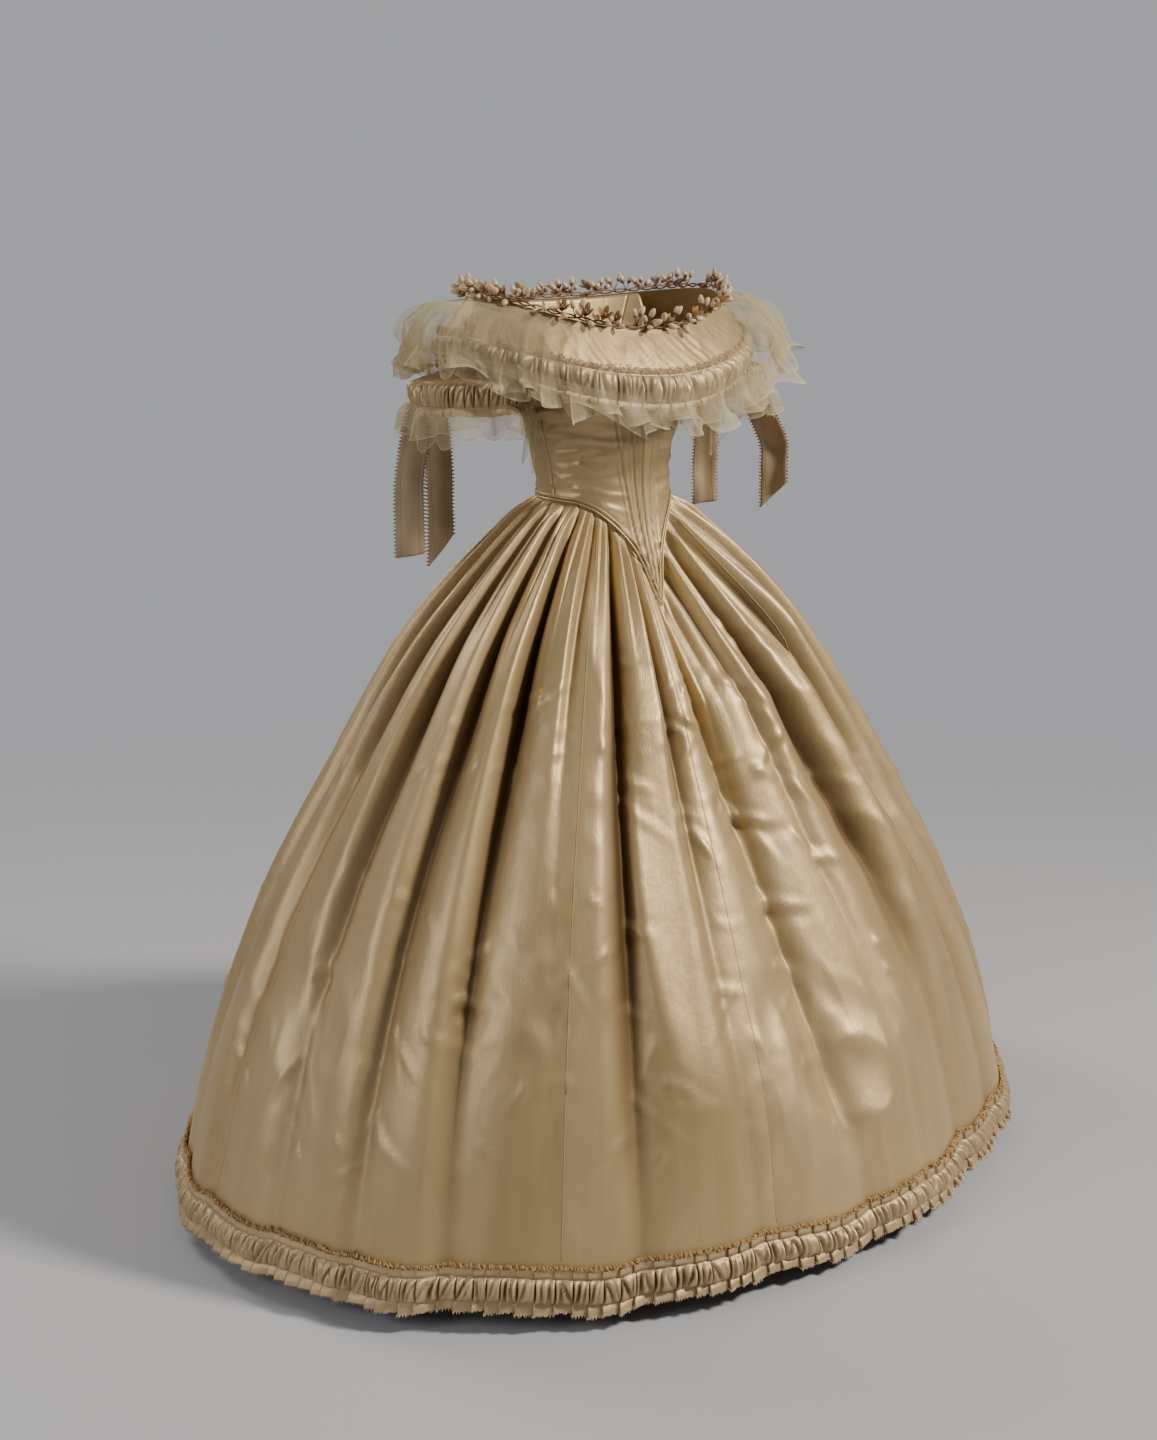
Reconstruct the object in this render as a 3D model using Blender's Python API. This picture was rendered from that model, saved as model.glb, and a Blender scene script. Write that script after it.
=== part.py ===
"""Wedding dress of about 1860: a pointed, boned bodice with an off-the-shoulder bertha of satin and
net, short sleeves with ribbon streamers, and a pleated bell skirt with a ruched hem.

Metres, +Z up. The origin is the centre of the waist. The front of the dress faces -Y and the
wearer's right is -X. The angle psi is measured round the dress in degrees, from the front (0)
towards the wearer's left (+90) and the back (180). Cloth is a closed wall a few millimetres thick.
"""
import bpy
import bmesh
import numpy as np

# driving sizes
SATIN_WALL = 0.0020
NET_WALL = 0.0012
SEAM_GAP = 0.0008
CLEARANCE = 0.0005
SKIRT_DROP = 1.032          # waist to the bottom of the hem trim
SKIRT_LIFT = 0.012          # the skirt cloth ends this far above the bottom of the trim
HEM_SHIFT = 0.010           # the hem sits this far towards the wearer's left
WAIST_TUCK = 0.010          # the skirt top lies this far up inside the bodice edge
PIPING_ROOM = 0.0045        # the skirt stays flat this far below the bodice edge
PLEAT_PITCH = 15.0          # degrees between the waist pleats
PLEAT_DEPTH = 0.0100
COLUMN = 3.0                # degrees between the skirt's mesh columns
TRIM_HEIGHT = 0.066
TRIM_WAVES = 80
TRIM_OFFSET = 0.0030
TRIM_DEPTH = 0.0075
BAND_WAVES = 32
BAND_OFFSET = 0.0030
BAND_DEPTH = 0.0070
NET_WAVES = 20
NET_WAVE_DEPTH = 0.0080
SLEEVE_WAVES = 9
PIPING_RADIUS = 0.0016
GARLAND_RISE = 0.0101
RIBBON_WIDTH = 0.042
RIBBON_WALL = 0.0012
UNDERARM_Z = 0.188

# skirt rings. g: share of the way from the waist size to the hem size
SKIRT_WAIST = dict(half_width=0.106, front=0.092, back=0.093)
SKIRT_HEM = dict(half_width=0.734, front=0.579, back=0.575)
SKIRT_RINGS = [  # depth (share of the drop), g
    (0.0, 0.0), (0.05, 0.105), (0.12, 0.236), (0.2, 0.364), (0.4, 0.606),
    (0.6, 0.793), (0.8, 0.921), (1.0, 1.0)]

# flutes that the waist pleats open into. Depth of the hollow in metres at 12, 30, 60 and 92 % down
FLUTES = [  # psi at the top, psi at the hem, width in degrees, depth at 12 %, 30 %, 60 %, 92 %
    (-172, -170, 5.5, 0.014, 0.026, 0.020, 0.010),
    (-157, -155, 5.0, 0.016, 0.032, 0.024, 0.008),
    (-142, -140, 5.0, 0.013, 0.024, 0.016, 0.004),
    (-127, -124, 5.5, 0.015, 0.030, 0.022, 0.006),
    (-112, -109, 5.0, 0.012, 0.022, 0.014, 0.004),
    (-98, -94, 5.0, 0.012, 0.022, 0.014, 0.004),
    (-84, -79, 4.6, 0.014, 0.028, 0.018, 0.004),
    (-70, -65, 4.6, 0.016, 0.032, 0.022, 0.005),
    (-57, -53, 4.2, 0.020, 0.038, 0.026, 0.006),
    (-44, -39, 4.0, 0.006, 0.006, 0.003, 0.000),
    (-32, -29, 4.4, 0.018, 0.044, 0.032, 0.006),
    (-18, -14, 4.2, 0.008, 0.024, 0.014, 0.004),
    (-5, 3, 4.6, 0.003, 0.022, 0.022, 0.010),
    (10, 13, 4.0, 0.006, 0.012, 0.006, 0.002),
    (22, 24, 4.2, 0.014, 0.028, 0.012, 0.004),
    (35, 36, 4.6, 0.015, 0.026, 0.014, 0.006),
    (50, 51, 5.0, 0.014, 0.030, 0.022, 0.004),
    (65, 66, 4.6, 0.013, 0.024, 0.014, 0.004),
    (80, 82, 5.0, 0.016, 0.032, 0.024, 0.008),
    (95, 98, 5.0, 0.012, 0.022, 0.014, 0.002),
    (111, 114, 5.4, 0.015, 0.030, 0.022, 0.008),
    (126, 129, 5.0, 0.013, 0.024, 0.016, 0.004),
    (142, 144, 5.0, 0.016, 0.030, 0.024, 0.008),
    (158, 159, 5.2, 0.013, 0.026, 0.018, 0.005)]
FLUTE_LEVELS = (0.0, 0.12, 0.30, 0.60, 0.92)

# slow swings of the hem, outward in metres
HEM_SWINGS = [(-180, 0.0), (-150, 0.006), (-120, -0.006), (-94, 0.004), (-75, -0.006), (-60, 0.008),
              (-45, -0.002), (-25, 0.006), (-8, -0.004), (8, 0.006), (25, -0.008), (45, 0.006),
              (70, -0.006), (95, 0.004), (130, -0.006), (155, 0.006), (180, 0.0)]

# breadths of the skirt: seam angles at the waist
SKIRT_SEAMS = [-180, -138, -93, -39, -12, 36, 93, 138, 180]
SKIRT_NAMES = ["back_right", "side_back_right", "side_right", "front_right", "front",
               "front_left", "side_back_left", "back_left"]

# lower edge of the bodice
BODICE_EDGE = [  # angle from the centre front, z
    (0.0, -0.166), (3.4, -0.138), (8.0, -0.099), (15.0, -0.065), (30.0, -0.032), (45.0, -0.012),
    (62.0, -0.002), (90.0, 0.0), (180.0, 0.0)]

BODICE_RINGS = [  # z, half width, y at the front, y at the back
    (-0.300, 0.210, -0.180, 0.180), (-0.160, 0.150, -0.136, 0.130), (-0.080, 0.124, -0.112, 0.108),
    (-0.030, 0.111, -0.098, 0.097), (0.000, 0.108, -0.093, 0.094), (0.030, 0.110, -0.090, 0.096),
    (0.080, 0.120, -0.092, 0.104), (0.130, 0.134, -0.096, 0.114), (0.180, 0.150, -0.102, 0.126),
    (0.200, 0.156, -0.104, 0.132)]
BUST = dict(psi=33.0, z=0.165, width=24.0, height=0.055, fullness=0.012)

BODICE_PANELS = [  # name, psi from, psi to, columns
    ("bodice_front_right", -82, 0, 15), ("bodice_front_left", 0, 82, 15),
    ("bodice_side_back_left", 82, 138, 7), ("bodice_back_left", 138, 180, 6),
    ("bodice_back_right", -180, -138, 6), ("bodice_side_back_right", -138, -82, 7)]

SHOULDER_RINGS = {  # half width right, left, y front, y back, z at the front, at the side, at the back
    "neck": (0.222, 0.222, -0.112, 0.150, 0.250, 0.300, 0.285),
    "drape": (0.250, 0.250, -0.138, 0.172, 0.212, 0.268, 0.250),
    "band_top": (0.266, 0.266, -0.150, 0.182, 0.184, 0.242, 0.220),
    "band_foot": (0.268, 0.268, -0.154, 0.184, 0.143, 0.214, 0.182),
    "net_neck": (0.2275, 0.2275, -0.1185, 0.1560, 0.2465, 0.2965, 0.2815),
    "net_puff": (0.288, 0.296, -0.151, 0.186, 0.224, 0.288, 0.264),
    "net_side": (0.318, 0.336, -0.170, 0.202, 0.184, 0.258, 0.224),
    "net_band": (0.318, 0.346, -0.173, 0.206, 0.142, 0.230, 0.184),
    "net_edge": (0.324, 0.356, -0.190, 0.220, 0.116, 0.202, 0.146)}

SLEEVE_RINGS = [  # v, centre x, centre y, centre z, x radius, y radius, rise of the outer side
    (0.00, 0.2079, 0.014, 0.2140, 0.0543, 0.050, 0.0240),
    (0.30, 0.2105, 0.018, 0.1925, 0.0535, 0.060, 0.0060),
    (0.55, 0.2400, 0.020, 0.180, 0.0780, 0.078, 0.0),
    (1.00, 0.2410, 0.020, 0.148, 0.0760, 0.076, 0.0)]
SLEEVE_BAND = dict(top=0.54, foot=0.80, offset=0.0026, depth=0.0060)
SLEEVE_FRILL = [  # z, radius, wave depth
    (0.1570, 0.0785, 0.0004), (0.149, 0.0960, 0.0050), (0.126, 0.1070, 0.0110)]

STREAMERS = [  # name, x and y from the sleeve's centre at the top and at the end (x outward), width
    # direction in degrees at the top and at the end, length, width
    ("streamer_outer_right", 0.0580, 0.0474, 0.067, 0.058, -51, 34, 0.224, 0.042),
    ("streamer_back_right", 0.0040, 0.0749, -0.008, 0.084, -3, 24, 0.228, 0.038),
    ("streamer_back_left", 0.0483, 0.0574, 0.058, 0.074, 140, 158, 0.200, 0.040),
    ("streamer_outer_left", 0.0690, -0.0292, 0.107, -0.040, 67, 128, 0.180, 0.042)]
STREAMER_TOP = 0.1476

GARLAND_PIECES = 6
GARLAND_SECTIONS = 14

COLOURS = {  # base colour, roughness, metallic
    "satin": ((0.62, 0.50, 0.33), 0.34, 0.0), "satin_trim": ((0.66, 0.54, 0.37), 0.38, 0.0),
    "net": ((0.70, 0.62, 0.44), 0.60, 0.0), "ribbon": ((0.56, 0.43, 0.26), 0.45, 0.0),
    "wax_flower": ((0.72, 0.58, 0.40), 0.50, 0.0)}


def smooth(x, xs, ys):
    """Monotone cubic curve through a table's rows."""
    xs, ys = np.asarray(xs, float), np.asarray(ys, float)
    h = np.diff(xs)
    d = np.diff(ys) / h
    m = np.concatenate([[d[0]], np.zeros(len(xs) - 2), [d[-1]]])
    for k in range(1, len(xs) - 1):
        if d[k - 1] * d[k] > 0:
            w1, w2 = 2 * h[k] + h[k - 1], h[k] + 2 * h[k - 1]
            m[k] = (w1 + w2) / (w1 / d[k - 1] + w2 / d[k])
    x = np.clip(np.asarray(x, float), xs[0], xs[-1])
    k = np.clip(np.searchsorted(xs, x, side="right") - 1, 0, len(xs) - 2)
    t = (x - xs[k]) / h[k]
    return ((1 + 2 * t) * (1 - t) ** 2 * ys[k] + t * (1 - t) ** 2 * h[k] * m[k]
            + t * t * (3 - 2 * t) * ys[k + 1] + t * t * (t - 1) * h[k] * m[k + 1])


def column(table, k):
    return [row[k] for row in table]


def step(x, low, high):
    t = np.clip((x - low) / (high - low), 0, 1)
    return t * t * (3 - 2 * t)


def wrap(psi):
    return (np.asarray(psi, float) + 180) % 360 - 180


def ring_point(psi, half_width, y_front, y_back, z):
    r = np.radians(psi)
    middle, half_depth = (y_front + y_back) / 2, (y_back - y_front) / 2
    return np.stack(np.broadcast_arrays(half_width * np.sin(r), middle - half_depth * np.cos(r), z), -1)


def bodice_edge(psi):
    return smooth(np.abs(wrap(psi)), column(BODICE_EDGE, 0), column(BODICE_EDGE, 1))


def torso(psi, z):
    """Outer face of the bodice at a height."""
    zs = column(BODICE_RINGS, 0)
    a, front, back = (smooth(z, zs, column(BODICE_RINGS, k)) for k in (1, 2, 3))
    bust = BUST["fullness"] * np.exp(-((np.abs(wrap(psi)) - BUST["psi"]) / BUST["width"]) ** 2
                                     - ((z - BUST["z"]) / BUST["height"]) ** 2)
    return ring_point(psi, a + bust, front - bust, back, z)


def shoulder(psi, name, out=0.0):
    """A ring of the bertha, off the shoulders."""
    right, left, front, back, z_front, z_side, z_back = SHOULDER_RINGS[name]
    a = np.where(np.sin(np.radians(psi)) < 0, right, left)
    side = np.sin(np.radians(psi)) ** 2
    ahead = np.cos(np.radians(psi)) > 0
    z = np.where(ahead, z_front + (z_side - z_front) * side, z_back + (z_side - z_back) * side)
    return ring_point(psi, a + out, front - out, back + out, z)


def bodice(psi, t):
    """Bodice cloth: t = 0 at the lower edge, 0.8 at the underarm, 1 at the neckline."""
    psi, t = np.broadcast_arrays(np.asarray(psi, float), np.asarray(t, float))
    low = bodice_edge(psi)
    z = low + (UNDERARM_Z - low) * np.clip(t / 0.8, 0, 1)
    body = torso(psi, z)
    neck = shoulder(psi, "neck", -SATIN_WALL - CLEARANCE) - [0, 0, 2 * CLEARANCE]
    w = np.clip((t - 0.8) / 0.2, 0, 1)[..., None]
    return body * (1 - w) + neck * w


def armhole(psi):
    """Top of the bodice cloth: the neckline, cut down to the underarm at the sides."""
    away = np.abs(np.abs(wrap(psi)) - 90)
    return 0.8 + 0.198 * step(away, 24, 44)


def flutes(psi, depth):
    out = np.zeros(np.broadcast(psi, depth).shape)
    for top, hem, width, *hollow in FLUTES:
        centre = top + (hem - top) * np.clip(depth, 0, 1)
        away = wrap(psi - centre) / width
        out -= smooth(depth, FLUTE_LEVELS, [0.0, *hollow]) * np.exp(-np.abs(away) ** 1.6)
    return out


def knife(psi):
    """Knife pleats turned towards the back on both sides of the centre front."""
    turn = np.where(wrap(psi) < 0, -wrap(psi), wrap(psi)) / PLEAT_PITCH
    phase = turn % 1.0
    return np.where(phase < 0.8, phase / 0.8, (1 - phase) / 0.2) - 0.5


def skirt(psi, v, out=0.0):
    """Outer face of the skirt: v = 0 at the top edge, 1 at the level of the hem's bottom."""
    psi, v = np.broadcast_arrays(np.asarray(psi, float), np.asarray(v, float))
    top = bodice_edge(psi) + WAIST_TUCK
    z = top + (-SKIRT_DROP - top) * v
    depth = np.clip(-z / SKIRT_DROP, 0, 1)
    g = smooth(depth, column(SKIRT_RINGS, 0), column(SKIRT_RINGS, 1))
    a, front, back = (SKIRT_WAIST[k] + (SKIRT_HEM[k] - SKIRT_WAIST[k]) * g
                      for k in ("half_width", "front", "back"))
    r = np.radians(psi)
    b = np.where(np.cos(r) > 0, front, back)
    base = np.stack([a * np.sin(r), -b * np.cos(r)], -1)
    radius = np.linalg.norm(base, axis=-1)
    below = bodice_edge(psi) - z
    inside = np.linalg.norm(torso(psi, np.maximum(z, -0.29))[..., :2], axis=-1) - SATIN_WALL - 0.0016
    slope = 0.52 + 0.6 * step(np.abs(wrap(psi)), 20, 55) + 1.3 * step(np.abs(wrap(psi)), 45, 85)
    room = PIPING_ROOM + 0.012 * np.exp(-(wrap(psi) / 14) ** 2)
    limit = inside + slope * np.maximum(below - room, 0)
    mix = np.clip(0.5 + (limit - radius) / 0.03, 0, 1)
    short = limit * (1 - mix) + radius * mix - 0.0075 * mix * (1 - mix)
    open_cloth = step(below, 0.0, 0.03)
    folds = flutes(psi, depth) * open_cloth + PLEAT_DEPTH * knife(psi) * open_cloth * (1 - step(depth, 0.04, 0.28))
    swing = smooth(wrap(psi), column(HEM_SWINGS, 0), column(HEM_SWINGS, 1)) * step(depth, 0.5, 1.0)
    reach = short + folds + swing + out
    xy = base / radius[..., None] * reach[..., None]
    return np.stack([xy[..., 0] + HEM_SHIFT * g, xy[..., 1], z], -1)


def normals(surface, u, v, du, dv):
    """Unit normals of a surface by central differences."""
    a = surface(u + du, v) - surface(u - du, v)
    b = surface(u, v + dv) - surface(u, v - dv)
    n = np.cross(a, b)
    return n / np.linalg.norm(n, axis=-1, keepdims=True)


def material(key):
    name = key
    made = bpy.data.materials.get(name)
    if made is None:
        colour, roughness, metallic = COLOURS[key]
        made = bpy.data.materials.new(name)
        made.use_nodes = True
        shader = made.node_tree.nodes["Principled BSDF"]
        shader.inputs["Base Color"].default_value = (*colour, 1.0)
        shader.inputs["Roughness"].default_value = roughness
        shader.inputs["Metallic"].default_value = metallic
        made.diffuse_color = (*colour, 1.0)
    return made


def add_body(name, verts, faces, key):
    mesh = bpy.data.meshes.new(name)
    mesh.from_pydata([tuple(map(float, p)) for p in verts], [], faces)
    work = bmesh.new()
    work.from_mesh(mesh)
    bmesh.ops.recalc_face_normals(work, faces=work.faces)
    if work.calc_volume(signed=True) < 0:
        bmesh.ops.reverse_faces(work, faces=work.faces)
    work.to_mesh(mesh)
    work.free()
    mesh.shade_smooth()
    mesh.set_sharp_from_angle(angle=np.radians(50))
    mesh.materials.append(material(key))
    body = bpy.data.objects.new(name, mesh)
    bpy.context.scene.collection.objects.link(body)
    return body


def wall(name, outer, inner, key, closed=False):
    """A closed wall between two grids of points, open or running round a tube in u. Both faces are
    split along the same diagonal, so the wall keeps its thickness where the cloth is twisted."""
    nu, nv = outer.shape[:2]
    index = np.arange(nu * nv).reshape(nu, nv)
    inside = index + nu * nv
    faces = []
    span = nu if closed else nu - 1
    for i in range(span):
        j = (i + 1) % nu
        for k in range(nv - 1):
            falling = np.linalg.norm(outer[i, k] - outer[j, k + 1])
            rising = np.linalg.norm(outer[j, k] - outer[i, k + 1])
            a, b, c, d = (i, k), (j, k), (j, k + 1), (i, k + 1)
            for p, q, r in (((a, b, c), (a, c, d)) if falling < rising else ((a, b, d), (b, c, d))):
                faces.append((index[p], index[q], index[r]))
                faces.append((inside[r], inside[q], inside[p]))
        faces.append((inside[i, 0], inside[j, 0], index[j, 0], index[i, 0]))
        faces.append((index[i, -1], index[j, -1], inside[j, -1], inside[i, -1]))
    if not closed:
        for k in range(nv - 1):
            faces.append((index[0, k], index[0, k + 1], inside[0, k + 1], inside[0, k]))
            faces.append((inside[-1, k], inside[-1, k + 1], index[-1, k + 1], index[-1, k]))
    faces = [tuple(int(c) for c in face) for face in faces]
    verts = np.concatenate([outer.reshape(-1, 3), inner.reshape(-1, 3)])
    return add_body(name, verts, faces, key)


def cloth(name, surface, us, vs, key, thickness=SATIN_WALL, closed=False, du=None, dv=None):
    """Cloth of a surface(u, v), thickened to the inside of the dress."""
    u, v = np.meshgrid(us, vs, indexing="ij")
    outer = surface(u, v)
    n = normals(surface, u, v, du or abs(us[1] - us[0]), dv or 0.02)
    centre = outer * [1, 1, 0] if not closed else outer - outer.mean(axis=0, keepdims=True)
    facing = np.sign(np.sum(n * centre, axis=(0, 1)).sum())
    inner = outer - n * facing * thickness
    if not closed:
        part_seams(surface, us, np.asarray(vs, float), du or abs(us[1] - us[0]), outer, inner)
    return wall(name, outer, inner, key, closed)


def part_seams(surface, us, vs, du, outer, inner):
    """Draw the first and last columns of a panel in by half the seam gap, along the cloth."""
    for end in (0, -1):
        inward = du if (us[-1] > us[0]) == (end == 0) else -du
        along = surface(us[end] + inward, vs) - surface(us[end] - inward, vs)
        along[:, 2] = 0
        along /= np.linalg.norm(along, axis=-1, keepdims=True)
        outer[end] += along * SEAM_GAP / 2
        inner[end] += along * SEAM_GAP / 2


def build_skirt():
    rows = np.array([0.0, 0.0145, 0.034, 0.068, 0.12, 0.20, 0.31, 0.46, 0.66, 1.0])
    rows *= (SKIRT_DROP - SKIRT_LIFT) / SKIRT_DROP
    for k, name in enumerate(SKIRT_NAMES):
        u0, u1 = SKIRT_SEAMS[k], SKIRT_SEAMS[k + 1]
        us = np.linspace(u0, u1, int(round((u1 - u0) / COLUMN)) + 1)
        cloth("skirt_" + name, skirt, us, rows, "satin", du=1.5, dv=0.01)


def build_trim():
    """Ruched satin ribbon round the hem: flat at its gathering lines, full between them."""
    levels = [(0.0, 0.0004, 0.55), (0.26, 0.0, 0.25), (0.60, 0.0, 1.0), (1.0, 0.0010, 0.85)]

    def ribbon(psi, v):
        fullness = smooth(v, column(levels, 0), column(levels, 2))
        wave = 0.5 + 0.5 * np.cos(np.radians(psi) * TRIM_WAVES)
        top = 1 - TRIM_HEIGHT / SKIRT_DROP
        return skirt(psi, top + (1 - top) * v, TRIM_OFFSET + TRIM_DEPTH * fullness * wave)

    count = 8
    for k in range(count):
        u0, u1 = -180 + k * 360 / count, -180 + (k + 1) * 360 / count
        us = np.linspace(u0, u1, 2 * TRIM_WAVES // count + 1)
        cloth("hem_ruching_%d" % (k + 1), ribbon, us, np.array(column(levels, 0)), "satin_trim",
              thickness=0.0016, du=1.0, dv=0.05)


def build_bodice():
    rows = np.array([0.0, 0.14, 0.32, 0.52, 0.72, 0.88, 1.0])
    for name, u0, u1, columns in BODICE_PANELS:
        us = np.linspace(u0, u1, columns + 1)
        if name.startswith("bodice_front"):
            share = np.linspace(0, 1, columns + 1) ** 1.5
            us = np.sign(u0 + u1) * (abs(us).min() + share * (abs(us).max() - abs(us).min()))
        cloth(name, lambda psi, t: bodice(psi, t * armhole(psi)), us, rows, "satin", du=1.0, dv=0.02)


def tube(name, path, side, up, radius, sides, key, closed=True, phase=0.0):
    """A cord swept along a path. side and up span its section."""
    angles = np.radians(np.arange(sides) * 360 / sides + phase)
    radius = np.broadcast_to(np.asarray(radius, float), (len(path),))
    rings = (path[:, None] + radius[:, None, None] * (np.cos(angles)[None, :, None] * side[:, None]
                                                      + np.sin(angles)[None, :, None] * up[:, None]))
    count = len(path)
    faces = []
    for i in range(count if closed else count - 1):
        j = (i + 1) % count
        for k in range(sides):
            m = (k + 1) % sides
            faces.append((i * sides + k, j * sides + k, j * sides + m, i * sides + m))
    if not closed:
        faces.append(tuple(range(sides)))
        faces.append(tuple((count - 1) * sides + k for k in range(sides)))
    return add_body(name, rings.reshape(-1, 3), faces, key)


def build_piping():
    """Piping cord along the pointed lower edge of the bodice."""
    half = np.concatenate([np.linspace(0, 1, 26)[1:] ** 1.7 * 180])
    psi = np.concatenate([-half[::-1][1:], [0.0], half])
    edge = torso(psi, bodice_edge(psi))
    ahead = torso(psi + 0.5, bodice_edge(psi + 0.5)) - torso(psi - 0.5, bodice_edge(psi - 0.5))
    ahead /= np.linalg.norm(ahead, axis=1, keepdims=True)
    outward = edge * [1, 1, 0]
    outward /= np.linalg.norm(outward, axis=1, keepdims=True)
    down = np.cross(outward, ahead)
    down /= np.linalg.norm(down, axis=1, keepdims=True)
    down *= -np.sign(down[:, 2:3])
    outward = np.cross(ahead, down)
    outward *= np.sign(np.sum(outward * edge * [1, 1, 0], axis=1, keepdims=True))
    path = edge + down * (PIPING_RADIUS + 0.0005) + outward * (PIPING_RADIUS - 0.0005)
    tube("waist_piping", path, down, outward, PIPING_RADIUS, 5, "satin_trim")


def loft(psi, v, names, out=0.0):
    """Surface through shoulder rings, v from 0 at the first to 1 at the last."""
    psi, v = np.broadcast_arrays(np.asarray(psi, float), np.asarray(v, float))
    rings = [shoulder(psi, name, out) for name in names]
    knots = np.linspace(0, 1, len(names))
    x = np.clip(v, -0.05, 1.05) * (len(names) - 1)
    k = np.clip(np.floor(x).astype(int), 0, len(names) - 2)
    t = (x - k)[..., None]
    stack = np.stack(rings)
    pick = np.arange(len(names))[:, None, None].reshape((-1,) + (1,) * psi.ndim)
    row = [np.sum(stack * (pick == np.clip(k + s, 0, len(names) - 1))[..., None], axis=0)
           for s in (-1, 0, 1, 2)]
    before = np.where((k == 0)[..., None], 2 * row[1] - row[2], row[0])
    after = np.where((k == len(knots) - 2)[..., None], 2 * row[2] - row[1], row[3])
    return 0.5 * (2 * row[1] + (row[2] - before) * t + (2 * before - 5 * row[1] + 4 * row[2] - after) * t ** 2
                  + (3 * row[1] - before - 3 * row[2] + after) * t ** 3)


QUARTERS = [("front", -45, 45), ("left", 45, 135), ("back", 135, 225), ("right", 225, 315)]


def build_bertha():
    def drape(psi, v):
        return loft(psi, v, ["neck", "drape", "band_top", "band_foot"])

    def band(psi, v):
        fullness = smooth(v, [0, 0.2, 0.5, 0.8, 1], [0.5, 0.15, 1.0, 0.15, 0.5])
        wave = 0.5 + 0.5 * np.cos(np.radians(psi) * BAND_WAVES)
        base = loft(psi, v, ["band_top", "band_foot"])
        out = BAND_OFFSET + BAND_DEPTH * fullness * wave
        outward = base * [1, 1, 0]
        return base + outward / np.linalg.norm(outward, axis=-1, keepdims=True) * out[..., None]

    def net(psi, v):
        wave = np.cos(np.radians(psi) * NET_WAVES) * NET_WAVE_DEPTH * np.clip(v - 0.35, 0, 1) / 0.65
        base = loft(psi, v, ["net_neck", "net_puff", "net_side", "net_band", "net_edge"])
        outward = base * [1, 1, 0]
        dip = 0.5 * wave * step(v, 0.8, 1.0)
        base = base + outward / np.linalg.norm(outward, axis=-1, keepdims=True) * wave[..., None]
        return base - dip[..., None] * np.array([0, 0, 1.0])

    for name, u0, u1 in QUARTERS:
        cloth("bertha_" + name, drape, np.linspace(u0, u1, 16), np.array([0, 0.3, 0.6, 1.0]), "satin",
              du=2.0, dv=0.05)
        cloth("bertha_ruching_" + name, band, np.linspace(u0, u1, BAND_WAVES // 2 + 1),
              np.array([0, 0.5, 1.0]), "satin_trim", thickness=0.0016, du=2.0, dv=0.1)
        cloth("net_drape_" + name, net, np.linspace(u0, u1, 3 * NET_WAVES // 4 + 1),
              np.array([0, 0.25, 0.5, 0.75, 1.0]), "net", thickness=NET_WALL, du=2.0, dv=0.05)


def sleeve(phi, v, sign, out=0.0):
    """Sleeve of one arm. phi is 0 on its outer side, 90 at the back."""
    x, y, z, rx, ry, rise = (smooth(v, column(SLEEVE_RINGS, 0), column(SLEEVE_RINGS, k)) for k in range(1, 7))
    c, s = np.cos(np.radians(phi)), np.sin(np.radians(phi))
    return np.stack(np.broadcast_arrays(sign * (x + (rx + out) * c), y + (ry + out) * s, z + rise * c), -1)


def build_sleeves():
    for side, sign in (("left", 1.0), ("right", -1.0)):
        turn = np.arange(24) * 15.0
        cloth("sleeve_" + side, lambda u, v: sleeve(u, v, sign), turn, np.array([0, 0.3, 0.55, 1.0]),
              "satin", closed=True, du=5.0, dv=0.02)

        def band(phi, v):
            share = SLEEVE_BAND["top"] + (SLEEVE_BAND["foot"] - SLEEVE_BAND["top"]) * v
            fullness = smooth(v, [0, 0.5, 1], [0.4, 1.0, 0.4])
            wave = 0.5 + 0.5 * np.cos(np.radians(phi) * 2 * SLEEVE_WAVES)
            out = SLEEVE_BAND["offset"] + SLEEVE_BAND["depth"] * fullness * wave
            return sleeve(phi, share, sign, out)

        turn = np.arange(4 * SLEEVE_WAVES) * 360.0 / (4 * SLEEVE_WAVES)
        cloth("sleeve_ruching_" + side, band, turn, np.array([0, 0.5, 1.0]), "satin_trim", thickness=0.0016,
              closed=True, du=4.0, dv=0.1)

        def frill(phi, v):
            z, r, depth = (smooth(v, [0, 0.4, 1], column(SLEEVE_FRILL, k)) for k in range(3))
            wave = np.cos(np.radians(phi) * SLEEVE_WAVES)
            c, s = np.cos(np.radians(phi)), np.sin(np.radians(phi))
            reach = r + depth * wave
            return np.stack(np.broadcast_arrays(sign * (0.241 + reach * c), 0.020 + reach * s,
                                                z - 0.6 * depth * wave), -1)

        turn = np.arange(4 * SLEEVE_WAVES) * 90.0 / SLEEVE_WAVES
        cloth("sleeve_frill_" + side, frill, turn, np.array([0, 0.4, 1.0]), "net", thickness=NET_WALL,
              closed=True, du=4.0, dv=0.1)


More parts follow.
